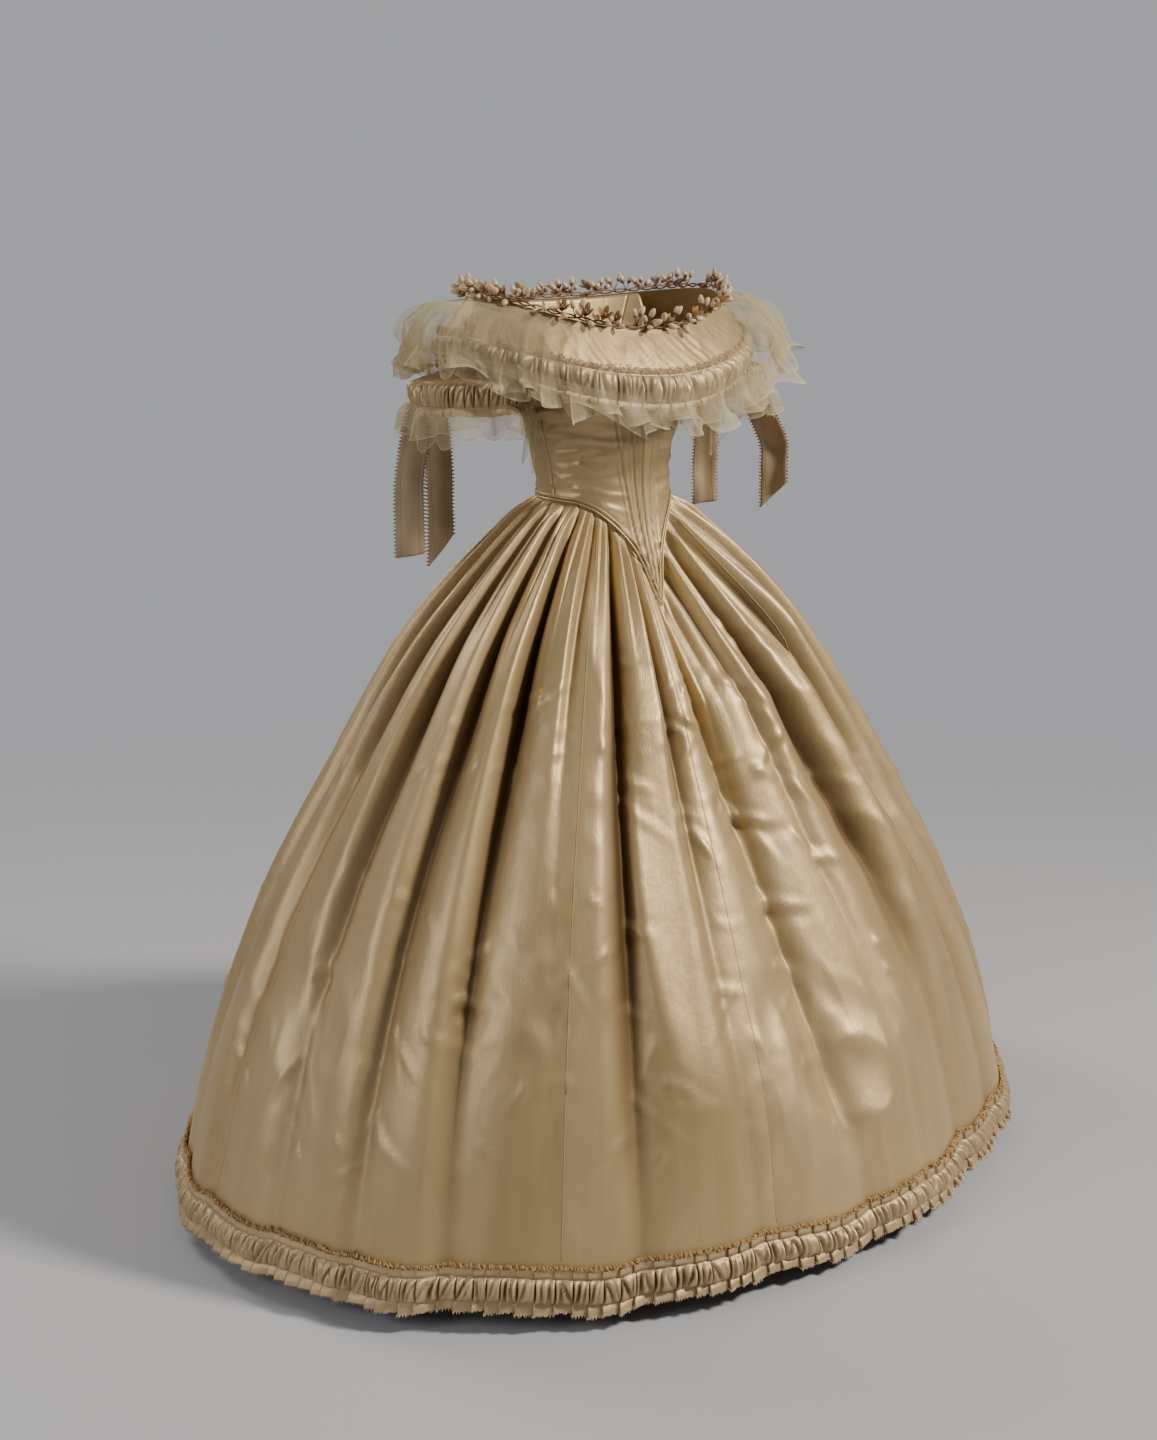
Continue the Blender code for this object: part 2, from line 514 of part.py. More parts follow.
def build_streamers():
    """Ribbon streamers that hang from the sleeve edges, each cut to a slanting end."""
    for name, x0, y0, x1, y1, turn0, turn1, length, width in STREAMERS:
        sign = 1.0 if name.endswith("left") else -1.0

        def ribbon(u, v):
            u, v = np.broadcast_arrays(np.asarray(u, float), np.asarray(v, float))
            lean = step(v, 0.05, 0.6)
            turn = np.radians(turn0 + (turn1 - turn0) * step(v, 0.12, 0.45))
            across = u * width * (1 - 0.2 * (1 - step(v, 0.0, 0.3)))
            x = 0.241 + x0 + (x1 - x0) * lean + across * np.cos(turn)
            y = 0.020 + y0 + (y1 - y0) * lean + across * np.sin(turn)
            cup = 0.0022 * np.cos(2 * u * np.pi) * step(v, 0.1, 0.4)
            x, y = x + cup * np.sin(turn), y - cup * np.cos(turn)
            return np.stack([sign * x, y, STREAMER_TOP - v * length * (1 + 0.12 * u)], -1)

        u, v = np.meshgrid(np.linspace(-0.5, 0.5, 4), np.array([0, 0.1, 0.2, 0.32, 0.45, 0.7, 1.0]), indexing="ij")
        outer = ribbon(u, v)
        n = normals(ribbon, u, v, 0.1, 0.05)
        wall(name, outer, outer - n * RIBBON_WALL, "ribbon")


def build_garland():
    """Wax orange blossom round the neckline: a stem with a bulge at each knot of buds."""
    step_angle = 360.0 / GARLAND_PIECES
    for k in range(GARLAND_PIECES):
        psi = np.linspace(k * step_angle - 30 + 0.1, (k + 1) * step_angle - 30 - 0.1, GARLAND_SECTIONS)
        path = shoulder(psi, "neck", 0.001) + [0, 0, GARLAND_RISE]
        ahead = shoulder(psi + 1, "neck") - shoulder(psi - 1, "neck")
        ahead /= np.linalg.norm(ahead, axis=1, keepdims=True)
        side = np.cross(ahead, [0, 0, 1.0])
        side /= np.linalg.norm(side, axis=1, keepdims=True)
        up = np.cross(side, ahead)
        order = np.arange(GARLAND_SECTIONS)
        bulge = np.where(order % 2 == 1, 0.0094, 0.0058) * (1 - 0.10 * ((order * 7 + k * 3) % 5) / 4)
        tube("garland_%d" % (k + 1), path, side, up, bulge, 6, "wax_flower", closed=False, phase=30)


def main():
    for item in list(bpy.data.objects):
        bpy.data.objects.remove(item, do_unlink=True)
    build_skirt()
    build_trim()
    build_bodice()
    build_piping()
    build_bertha()
    build_sleeves()
    build_streamers()
    build_garland()


main()
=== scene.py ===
import bpy
import numpy as np
from mathutils import Vector, Matrix


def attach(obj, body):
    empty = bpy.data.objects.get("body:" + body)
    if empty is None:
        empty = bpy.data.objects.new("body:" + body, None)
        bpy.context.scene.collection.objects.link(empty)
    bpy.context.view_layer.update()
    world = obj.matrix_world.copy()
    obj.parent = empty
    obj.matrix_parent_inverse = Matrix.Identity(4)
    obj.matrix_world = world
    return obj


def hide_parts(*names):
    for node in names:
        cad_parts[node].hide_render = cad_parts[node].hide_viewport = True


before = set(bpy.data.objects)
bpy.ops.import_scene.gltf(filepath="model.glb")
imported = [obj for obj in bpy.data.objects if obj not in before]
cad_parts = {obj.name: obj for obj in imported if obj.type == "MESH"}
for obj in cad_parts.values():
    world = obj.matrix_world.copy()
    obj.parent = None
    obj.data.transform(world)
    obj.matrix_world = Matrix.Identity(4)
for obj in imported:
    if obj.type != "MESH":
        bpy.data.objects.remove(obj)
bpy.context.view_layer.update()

camera = dict(distance=3.2, height=0.431, focal=2087.6, pictureHeight=1440, sensor=36, pitch=13.93,
              turn=39.49, aside=-0.038)


def linked(name, data):
    thing = bpy.data.objects.new(name, data)
    bpy.context.collection.objects.link(thing)
    return thing


def aim(thing, way):
    thing.rotation_mode = "QUATERNION"
    thing.rotation_quaternion = way.to_track_quat("-Z", "Y")


def addCamera(c):
    turn, pitch = np.radians(c["turn"]), np.radians(c["pitch"])
    lens = bpy.data.cameras.new("camera")
    lens.sensor_width = c["sensor"]
    lens.lens = c["focal"] / c["pictureHeight"] * c["sensor"]
    eye = linked("camera", lens)
    eye.location = (c["aside"] * np.cos(turn) - c["distance"] * np.sin(turn),
                    -c["aside"] * np.sin(turn) - c["distance"] * np.cos(turn), c["height"])
    aim(eye, Vector((np.sin(turn) * np.cos(pitch), np.cos(turn) * np.cos(pitch), -np.sin(pitch))))
    bpy.context.scene.camera = eye


addCamera(camera)
print("camera placed")


# curves, angles and uneven waves
def curveThrough(x, xs, ys):
    xs, ys = np.asarray(xs, float), np.asarray(ys, float)
    h = np.diff(xs)
    d = np.diff(ys) / h
    m = np.concatenate([[d[0]], np.zeros(len(xs) - 2), [d[-1]]])
    for k in range(1, len(xs) - 1):
        if d[k - 1] * d[k] > 0:
            w1, w2 = 2 * h[k] + h[k - 1], h[k] + 2 * h[k - 1]
            m[k] = (w1 + w2) / (w1 / d[k - 1] + w2 / d[k])
    x = np.clip(np.asarray(x, float), xs[0], xs[-1])
    k = np.clip(np.searchsorted(xs, x, side="right") - 1, 0, len(xs) - 2)
    t = (x - xs[k]) / h[k]
    return ((1 + 2 * t) * (1 - t) ** 2 * ys[k] + t * (1 - t) ** 2 * h[k] * m[k]
            + t * t * (3 - 2 * t) * ys[k + 1] + t * t * (t - 1) * h[k] * m[k + 1])


def column(table, k):
    return [row[k] for row in table]


def curves(x, table, *columns):  # smooth curves through a table's columns, against its first one
    return [curveThrough(x, column(table, 0), column(table, k)) for k in columns]


def ease(x, low, high):
    t = np.clip((x - low) / (high - low), 0, 1)
    return t * t * (3 - 2 * t)


def hump(x):
    return np.exp(-np.square(x))


def hollowOf(reach, window, start, depth):  # how far each point lies below its highest neighbour, 0 to 1
    highest = np.max([np.roll(reach, k, axis=0) for k in range(-window, window + 1)], axis=0)
    return np.clip((highest - reach - start) / depth, 0, 1)


def turnWithin(psi):
    return (np.asarray(psi, float) + 180) % 360 - 180


def around(count):  # turns in degrees, evenly all the way round
    return np.linspace(-180, 180, count + 1)[:-1]


def crossed(a, b):
    return np.meshgrid(a, b, indexing="ij")


def cosSin(degrees):
    return np.cos(np.radians(degrees)), np.sin(np.radians(degrees))


def length(rows):
    return np.linalg.norm(rows, axis=-1)


def unitRows(rows):
    return rows / length(rows)[..., None]


def unit(vector):
    return vector / np.linalg.norm(vector)


def outwardOf(at, centre=(0.0, 0.0)):  # level, straight away from an upright line
    return unitRows((at - [*centre, 0]) * [1, 1, 0])


def unevenWave(psi, seed, low, high, count=7):  # closes on itself round the dress, about -1 to 1
    pick = np.random.default_rng(seed)
    waves, starts = pick.integers(low, high + 1, count), pick.uniform(0, 2 * np.pi, count)
    return sum(np.cos(np.radians(psi) * w + s) for w, s in zip(waves, starts)) / np.sqrt(count)


def crumple(at, seed, size, stretch=(1, 1, 1), count=26):  # soft unevenness of cloth at points in space
    pick = np.random.default_rng(seed)
    total = np.zeros(at.shape[:-1])
    for _ in range(count):
        way = unit(pick.normal(size=3)) * stretch
        total += np.cos(at @ way * 2 * np.pi / (size * pick.uniform(0.6, 1.7)) + pick.uniform(0, 2 * np.pi))
    return total / np.sqrt(count)


# finishes: sockets with arithmetic, so that a mask is an expression
def arithmetic(kind, swapped=False):
    return lambda self, other: self.sum(kind, *((other, self) if swapped else (self, other)))


class Socket:
    __add__, __radd__ = arithmetic("ADD"), arithmetic("ADD", True)
    __sub__, __rsub__ = arithmetic("SUBTRACT"), arithmetic("SUBTRACT", True)
    __mul__ = arithmetic("MULTIPLY")

    def __init__(self, finish, link):
        self.finish, self.link = finish, link

    def sum(self, kind, a, b=0.0):
        return self.finish.node("ShaderNodeMath", {"operation": kind}, {0: a, 1: b})

    def least(self, top):  # itself, or top where that is less
        return self.sum("MINIMUM", self, top)

    def size(self):
        return self.sum("ABSOLUTE", self)


class Finish:
    def __init__(self, name):
        self.material = bpy.data.materials.new(name)
        self.material.use_nodes = True
        self.tree = self.material.node_tree
        self.tree.nodes.clear()

    def node(self, kind, settings, inputs, out=0):
        made = self.tree.nodes.new(kind)
        for key, value in settings.items():
            setattr(made, key, value)
        for key, value in inputs.items():
            if isinstance(value, Socket):
                self.tree.links.new(value.link, made.inputs[key])
            else:
                made.inputs[key].default_value = value
        return Socket(self, made.outputs[out])

    def scaled(self, at, scale):
        return self.node("ShaderNodeVectorMath", {"operation": "MULTIPLY"}, {0: at, 1: scale})

    def place(self, *scale):  # object coordinates, in metres, times one scale or one for each axis
        at = self.node("ShaderNodeTexCoord", {}, {}, "Object")
        return self.scaled(at, scale if len(scale) == 3 else scale * 3)

    def cloth(self, across, down):  # the cloth's own metres, across and down, times a scale for each
        return self.scaled(self.node("ShaderNodeUVMap", {"uv_map": "cloth"}, {}), (across, down, 1.0))

    def noise(self, at, detail=3.0, rough=0.55):
        inputs = {"Vector": at, "Scale": 1.0, "Detail": detail, "Roughness": rough}
        return self.node("ShaderNodeTexNoise", {}, inputs)

    def mark(self, name):  # the value that each point of the mesh holds
        return self.node("ShaderNodeAttribute", {"attribute_name": name}, {}, "Fac")

    def ramp(self, value, low, high, first=0.0, last=1.0, kind="SMOOTHSTEP"):
        return self.node("ShaderNodeMapRange", {"interpolation_type": kind},
                         {0: value, 1: low, 2: high, 3: first, 4: last})

    def between(self, share, a, b):
        a, b = (c if isinstance(c, Socket) else (*c, 1) for c in (a, b))
        return self.node("ShaderNodeMix", {"data_type": "RGBA"}, {0: share, 6: a, 7: b}, 2)

    def bump(self, height, depth, strength=1.0, over=None):
        inputs = {"Height": height, "Distance": depth, "Strength": strength}
        if over is not None:
            inputs["Normal"] = over
        return self.node("ShaderNodeBump", {}, inputs)

    def surface(self, **inputs):
        named = {key.replace("_", " "): value for key, value in inputs.items()}
        shader = self.node("ShaderNodeBsdfPrincipled", {}, named)
        end = self.tree.nodes.new("ShaderNodeOutputMaterial")
        self.tree.links.new(shader.link, end.inputs["Surface"])
        return self.material


# shade: the colour of painted shade, laid into the cloth where its "hollow" mark says it lies deep in a fold
satinFinish = dict(light=(0.64, 0.475, 0.245), deep=(0.43, 0.3, 0.135), shade=(0.12, 0.068, 0.022), rough=0.4,
                   metallic=0.47, specular=0.35, threadDepth=0.00026, softDepth=0.0014)


def satin(name, **changes):
    c = {**satinFinish, **changes}
    f = Finish(name)
    cloudy = f.noise(f.place(3.2, 3.2, 1.6), 4.0)
    warp = f.noise(f.cloth(1000.0, 7.0), 2.0)        # fine threads down the cloth spread its sheen
    streaks = f.noise(f.cloth(120.0, 2.5))
    weft = f.noise(f.cloth(20.0, 420.0), 2.0)
    soft = f.noise(f.place(26.0, 26.0, 11.0), 4.0, 0.6)
    panels = f.noise(f.cloth(7.0, 0.8))        # broad upright patches of sheen
    # painted shade: the "hollow" mark darkens the colour towards the shade colour, and also makes the cloth
    # rougher there
    hollow = f.mark("hollow")
    tone = f.ramp(cloudy * 0.42 + panels * 0.5 + streaks * 0.08, 0.32, 0.68)
    colour = f.between(tone * 0.85 + weft * 0.15, c["deep"], c["light"])
    threads = f.bump(warp + streaks * 0.15 + weft * 0.15, c["threadDepth"], 1.0)
    rough = c["rough"] - 0.07 + cloudy * 0.12 + panels * 0.1 + hollow * 0.2
    return f.surface(Base_Color=f.between(hollow, colour, c["shade"]), Metallic=c["metallic"],
                     Roughness=rough, Specular_IOR_Level=c["specular"],
                     Normal=f.bump(soft, c["softDepth"], 0.9, threads))


skirtSatin = satin("skirtSatin")
bodiceSatin = satin("bodiceSatin", softDepth=0.0007, rough=0.36)
mutedSatin = satin("mutedSatin", light=(0.57, 0.405, 0.19), deep=(0.41, 0.272, 0.115), softDepth=0.0009,
                   rough=0.41, metallic=0.5)
# the ribbon's shade colour is its painted shade in the dents of its puffs
ribbonSatin = satin("ribbonSatin", light=(0.66, 0.5, 0.28), deep=(0.5, 0.355, 0.18),
                    shade=(0.16, 0.095, 0.035), softDepth=0.0004, threadDepth=0.0002, rough=0.32)


def netting():  # fine silk net; each point's own "cover" says how densely it lies there
    f = Finish("silkNet")
    mesh = f.node("ShaderNodeTexVoronoi", {"feature": "DISTANCE_TO_EDGE"},
                  {"Vector": f.cloth(1.0, 1.0), "Scale": 620.0, "Randomness": 0.2})
    thread = 1.0 - (mesh * 5.0).least(1.0)
    cloudy = f.noise(f.place(30.0))
    dense = f.mark("cover")
    facing = f.node("ShaderNodeLayerWeight", {}, {"Blend": 0.3}, "Facing")
    near = (dense * 6.0).least(1.0)
    cover = dense * (0.7 + cloudy * 0.5) + near * (thread * 0.08 + facing * facing * 0.45)
    colour = f.between(cloudy, (0.5, 0.41, 0.215), (0.68, 0.57, 0.33))
    return f.surface(Base_Color=colour, Roughness=0.55 + cloudy * 0.1, Alpha=cover.least(0.92),
                     Normal=f.bump(thread, 0.0002, 0.3))


def thread(name, light, deep, rough=0.55, pitch=900.0):
    f = Finish(name)
    twist = f.noise(f.place(pitch), 2.0)
    cloudy = f.noise(f.place(60.0))
    return f.surface(Base_Color=f.between(cloudy * 0.7 + twist * 0.3, deep, light),
                     Roughness=rough + twist * 0.15, Normal=f.bump(twist, 0.0003, 0.6))


silkNet = netting()
goldThread = thread("goldThread", (0.72, 0.47, 0.19), (0.42, 0.23, 0.075))
paleThread = thread("paleThread", (0.76, 0.62, 0.4), (0.58, 0.43, 0.24))
brownThread = thread("brownThread", (0.34, 0.23, 0.12), (0.2, 0.12, 0.055))
stemWax = thread("stemWax", (0.34, 0.19, 0.08), (0.13, 0.065, 0.03), 0.5, 500.0)
weave = dict(lineFrom=0.015, lineWidth=0.0011, silk=((0.3, 0.21, 0.115), (0.46, 0.34, 0.2)),
             line=(0.26, 0.17, 0.08))


def ribbonWeave(w):  # the streamers: darker silk with a line woven inside each edge
    f = Finish("streamerSilk")
    toEdge = f.node("ShaderNodeSeparateXYZ", {}, {0: f.cloth(1.0, 1.0)}, 0).size()
    line = f.ramp((toEdge - w["lineFrom"]).size(), 0.0, w["lineWidth"], 1.0, 0.0)
    weft = f.noise(f.cloth(30.0, 900.0), 2.0)
    cloudy = f.noise(f.place(30.0, 30.0, 14.0), 4.0)
    colour = f.between(line * 0.75, f.between(cloudy, *w["silk"]), w["line"])
    return f.surface(Base_Color=colour, Metallic=0.12, Roughness=0.44 + weft * 0.12,
                     Normal=f.bump(weft * 0.5 + cloudy + line, 0.0004, 0.6))


streamerSilk = ribbonWeave(weave)


def wax(name, light, deep, tip):
    f = Finish(name)
    cloudy = f.noise(f.place(110.0), 4.0)
    colour = f.between(f.mark("age"), f.between(cloudy, deep, light), tip)
    return f.surface(Base_Color=colour, Coat_Weight=0.15, Roughness=0.34 + cloudy * 0.2,
                     Normal=f.bump(cloudy, 0.0005, 0.5))


budWax = wax("budWax", (0.73, 0.6, 0.38), (0.54, 0.4, 0.22), (0.22, 0.105, 0.035))
petalWax = wax("petalWax", (0.7, 0.49, 0.22), (0.38, 0.22, 0.085), (0.24, 0.095, 0.022))
print("finishes made")


# laying cloth over a grid of points; a sheet's area has some more for its seams
sheetRule = dict(seams=1.03, leastShare=0.31)


def nodeOf(piece):  # skirtBackLeft stands for the solid skirt_back_left
    return "".join("_" + c.lower() if c.isupper() else c for c in piece)


def smoothPiece(name, mesh, finish=None):
    if finish:
        mesh.materials.append(finish)
    mesh.shade_smooth()
    return linked(name, mesh)


def dressPiece(piece, nodes=()):
    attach(piece, "root")
    if nodes:
        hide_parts(*nodes)


def layCloth(name, grid, finish, nodes=None, wall=0.0, closed=False, centre=(0.0, 0.0),
             marks=None):
    nu, nv = grid.shape[:2]
    index = np.arange(nu * nv).reshape(nu, nv)
    here = index if closed else index[:-1]
    there = np.roll(index, -1, axis=0) if closed else index[1:]
    faces = np.stack([here[:, :-1], there[:, :-1], there[:, 1:], here[:, 1:]], -1).reshape(-1, 4)
    wide = np.concatenate([grid, grid[:1]]) if closed else grid
    acrossSteps, downSteps = length(np.diff(wide, axis=0)), length(np.diff(grid, axis=1))
    across = np.concatenate([np.zeros((1, nv)), np.cumsum(acrossSteps, axis=0)])
    across -= across[-1:] * (0.0 if closed else 0.5)
    down = np.concatenate([np.zeros((nu, 1)), np.cumsum(downSteps, axis=1)], axis=1)
    down = np.concatenate([down, down[:1]]) if closed else down
    flatPoint = np.stack([across, down], -1)
    corners = np.stack([flatPoint[:-1, :-1], flatPoint[1:, :-1], flatPoint[1:, 1:], flatPoint[:-1, 1:]], 2)
    normal = np.cross(wide[1:, :-1] - wide[:-1, :-1], wide[:-1, 1:] - wide[:-1, :-1])
    away = (wide[:-1, :-1] - [*centre, 0]) * [1, 1, 0]
    corners = corners.reshape(-1, 4, 2)
    if np.sum(normal * away) < 0:
        faces, corners = faces[:, ::-1], corners[:, ::-1]
    mesh = bpy.data.meshes.new(name)
    mesh.from_pydata(grid.reshape(-1, 3).tolist(), [], faces.tolist())
    mesh.uv_layers.new(name="cloth").data.foreach_set("uv", np.ascontiguousarray(corners).ravel())
    for mark, values in (marks or {}).items():
        onPoints = mesh.attributes.new(mark, "FLOAT", "POINT")
        onPoints.data.foreach_set("value", np.ascontiguousarray(values).ravel())
    piece = smoothPiece(name, mesh, finish)
    if wall:
        shell = piece.modifiers.new("wall", "SOLIDIFY")
        shell.thickness, shell.offset = wall, -1
    flat = (round(float(acrossSteps.sum(0).max()), 3), round(float(np.median(downSteps.sum(1))), 3))
    whole = flat[0] * flat[1]
    area = float(np.clip(length(normal).sum() * sheetRule["seams"], sheetRule["leastShare"] * whole, whole))
    dressPiece(piece, [nodeOf(name)] if nodes is None else nodes)
    print(f"{name}: {flat[0]:.3f} x {flat[1]:.3f} m, {area:.3f} square metres, {nu} x {nv}")


def joinPieces(pieces, name):
    with bpy.context.temp_override(active_object=pieces[0], selected_editable_objects=pieces):
        bpy.ops.object.join()
    pieces[0].name = pieces[0].data.name = name
    return pieces[0]


def ringsRound(path, radius, side, up, sides):
    angle = np.arange(sides) * 2 * np.pi / sides
    return path[:, None] + radius * (np.cos(angle)[None, :, None] * side[:, None]
                                     + np.sin(angle)[None, :, None] * up[:, None])


def sweepTube(name, path, radius, sides, finish, closed=False):
    ahead = unitRows((np.roll(path, -1, 0) - np.roll(path, 1, 0)) if closed else np.gradient(path, axis=0))
    side = unitRows(np.cross(ahead, [0, 0, 1.0]) + 1e-9)
    rings = ringsRound(path, radius, side, np.cross(side, ahead), sides)
    n = len(path)
    i, k = crossed(np.arange(n if closed else n - 1), np.arange(sides))
    j, m = (i + 1) % n, (k + 1) % sides
    faces = np.stack([i * sides + k, i * sides + m, j * sides + m, j * sides + k], -1).reshape(-1, 4).tolist()
    if not closed:
        faces += [list(range(sides))[::-1], [(n - 1) * sides + q for q in range(sides)]]
    mesh = bpy.data.meshes.new(name)
    mesh.from_pydata(rings.reshape(-1, 3).tolist(), [], faces)
    first = mesh.polygons[0]
    if (np.array(first.center) - rings[0].mean(0)) @ np.array(first.normal) < 0:
        mesh.flip_normals()
    return smoothPiece(name, mesh, finish)


# small shapes set along an edge by Geometry Nodes, and removed at the end
shapes = []


def shapeMesh(name, verts, faces, age=None):
    mesh = bpy.data.meshes.new(name)
    mesh.from_pydata([tuple(map(float, v)) for v in verts], [], [tuple(map(int, f)) for f in faces])
    if age is not None:
        mesh.attributes.new("age", "FLOAT", "POINT").data.foreach_set("value", np.asarray(age, float))
    shapes.append(smoothPiece(name, mesh))
    return shapes[-1]


def frames(out, up):  # turns that carry a shape's Z to out and its X to along
    turns = []
    for o, u in zip(out, np.broadcast_to(up, np.shape(out))):
        z = Vector(o).normalized()
        x = Vector(u).cross(z)
        x = x.normalized() if x.length > 1e-6 else z.orthogonal().normalized()
        turns.append(tuple(Matrix((x, z.cross(x), z)).transposed().to_euler()))
    return np.array(turns)


def setAlong(name, points, turns, shape, finish, sizes):  # sizes: the smallest, the largest and a seed
    seedMesh = bpy.data.meshes.new(name)
    seedMesh.from_pydata(np.asarray(points, float).tolist(), [], [])
    turnMark = seedMesh.attributes.new("turn", "FLOAT_VECTOR", "POINT")
    turnMark.data.foreach_set("vector", np.asarray(turns).ravel())
    carrier = linked(name, seedMesh)
    tree = bpy.data.node_groups.new(name, "GeometryNodeTree")
    sockets, n = tree.interface.new_socket, tree.nodes.new
    sockets(name="Points", in_out="INPUT", socket_type="NodeSocketGeometry")
    inputs = {"Shape": ("Object", shape), "Finish": ("Material", finish), "Smallest": ("Float", sizes[0]),
              "Largest": ("Float", sizes[1]), "Seed": ("Int", sizes[2])}
    made = {key: sockets(name=key, in_out="INPUT", socket_type="NodeSocket" + kind)
            for key, (kind, _) in inputs.items()}
    sockets(name="Result", in_out="OUTPUT", socket_type="NodeSocketGeometry")
    given, result = n("NodeGroupInput"), n("NodeGroupOutput")
    source, spots = n("GeometryNodeObjectInfo"), n("GeometryNodeMeshToPoints")
    turn, size = n("GeometryNodeInputNamedAttribute"), n("FunctionNodeRandomValue")
    placed, real = n("GeometryNodeInstanceOnPoints"), n("GeometryNodeRealizeInstances")
    coat = n("GeometryNodeSetMaterial")
    turn.data_type, size.data_type = "FLOAT_VECTOR", "FLOAT"
    turn.inputs["Name"].default_value = "turn"
    for a, out, b, into in ((given, "Points", spots, "Mesh"), (given, "Shape", source, "Object"),
                            (given, "Smallest", size, 2), (given, "Largest", size, 3),
                            (given, "Seed", size, "Seed"), (spots, "Points", placed, "Points"),
                            (source, "Geometry", placed, "Instance"), (turn, "Attribute", placed, "Rotation"),
                            (size, 1, placed, "Scale"), (placed, "Instances", real, "Geometry"),
                            (real, "Geometry", coat, "Geometry"), (given, "Finish", coat, "Material"),
                            (coat, "Geometry", result, "Result")):
        tree.links.new(a.outputs[out], b.inputs[into])
    setter = carrier.modifiers.new("along", "NODES")
    setter.node_group = tree
    for key, (_, value) in inputs.items():
        setter[made[key].identifier] = value
    mesh = bpy.data.meshes.new_from_object(carrier.evaluated_get(bpy.context.evaluated_depsgraph_get()))
    mesh.name = name
    bpy.data.objects.remove(carrier, do_unlink=True)
    mesh.materials.clear()
    mesh.polygons.foreach_set("material_index", np.zeros(len(mesh.polygons), int))
    print(f"{name}: {len(points)} set, {len(mesh.polygons)} faces")
    return smoothPiece(name, mesh, finish)


def curlMesh(width, height, thick, steps=5, sides=3):  # an open loop of thread that stands on its edge
    t = np.linspace(-0.15, 1.15, steps) * np.pi
    path = np.stack([-np.cos(t) * width / 2, np.zeros(steps), (0.45 + 0.55 * np.sin(t)) * height], -1)
    outward = unitRows(path - [0, 0, height * 0.45])
    rings = ringsRound(path, thick, outward, np.broadcast_to([0, 1.0, 0], path.shape), sides)
    faces = [(i * sides + k, i * sides + m, (i + 1) * sides + m, (i + 1) * sides + k)
             for i in range(steps - 1) for k, m in zip(range(sides), [*range(1, sides), 0])]
    return shapeMesh("curl", rings.reshape(-1, 3), faces)


def toothMesh(thick, width=0.0036, height=0.0046):  # one pointed picot
    w, t, foot = width / 2, thick, -0.0004
    return shapeMesh("picot", [(-w, -t, foot), (w, -t, foot), (w, t, foot), (-w, t, foot), (0, 0, height)],
                     [(0, 1, 4), (1, 2, 4), (2, 3, 4), (3, 0, 4), (3, 2, 1, 0)])


def evenPoints(path, pitch, closed=True):  # points every pitch along a line, with the way ahead at each
    path = np.concatenate([path, path[:1]]) if closed else path
    at = np.concatenate([[0], np.cumsum(length(np.diff(path, axis=0)))])
    count = int(at[-1] / pitch)
    want = (np.arange(count) + 0.5) * at[-1] / count
    points = np.stack([np.interp(want, at, path[:, k]) for k in range(3)], -1)
    return points, unitRows(np.gradient(points, axis=0))


def edgeLoops(name, path, pitch, shape, finish, sizes, tilt, rows=1, rise=0.0, side=1.0, centre=(0.0, 0.0)):
    pick = np.random.default_rng(sizes[2])
    points, ahead = evenPoints(path, pitch)
    beyond, _ = evenPoints(path + outwardOf(path, centre) * 0.01, pitch)
    out = unitRows(beyond[:len(points)] - points)
    up = np.cross(out, ahead)
    up *= np.sign(up[:, 2:3]) * side
    allPoints, allTurns = [], []
    for row in range(rows):
        lean = pick.uniform(-tilt, tilt, (len(points), 2))
        stand = up + out * lean[:, :1] + ahead * lean[:, 1:]
        allPoints.append(points + up * rise * row)
        allTurns.append(frames(stand, out + ahead * pick.uniform(-tilt, tilt, (len(points), 1))))
    dressPiece(setAlong(name, np.concatenate(allPoints), np.concatenate(allTurns), shape, finish, sizes))


# the form of the dress, from the same named sizes as its solids
skirtCut = dict(drop=1.032, lift=0.012, hemShift=0.01, tuck=0.01, room=0.0045, columnsPerTurn=960, rows=164,
                solidWall=0.002, foldDepth=1.5, foldWidth=0.86, hemFold=0.003, creaseRise=1.45,
                creaseWidth=1.05, pleatRise=0.02, hemWave=0.0035, lesserCreases=150, turnsOver=-8,
                torsoEnd=-0.29, torsoGap=0.0016, seamOut=0.0002, seamThick=0.0006, seamFrom=0.03,
                seamTo=0.935, shadeFrom=0.009, shadeDepth=0.038)
skirtWaist = dict(halfWidth=0.106, front=0.092, back=0.093)
skirtHem = dict(halfWidth=0.734, front=0.579, back=0.575)
skirtRings = [(0.0, 0.0), (0.05, 0.105), (0.12, 0.236), (0.2, 0.364), (0.4, 0.606), (0.6, 0.793),
              (0.8, 0.921), (1.0, 1.0)]  # depth, share of the way to the hem's size
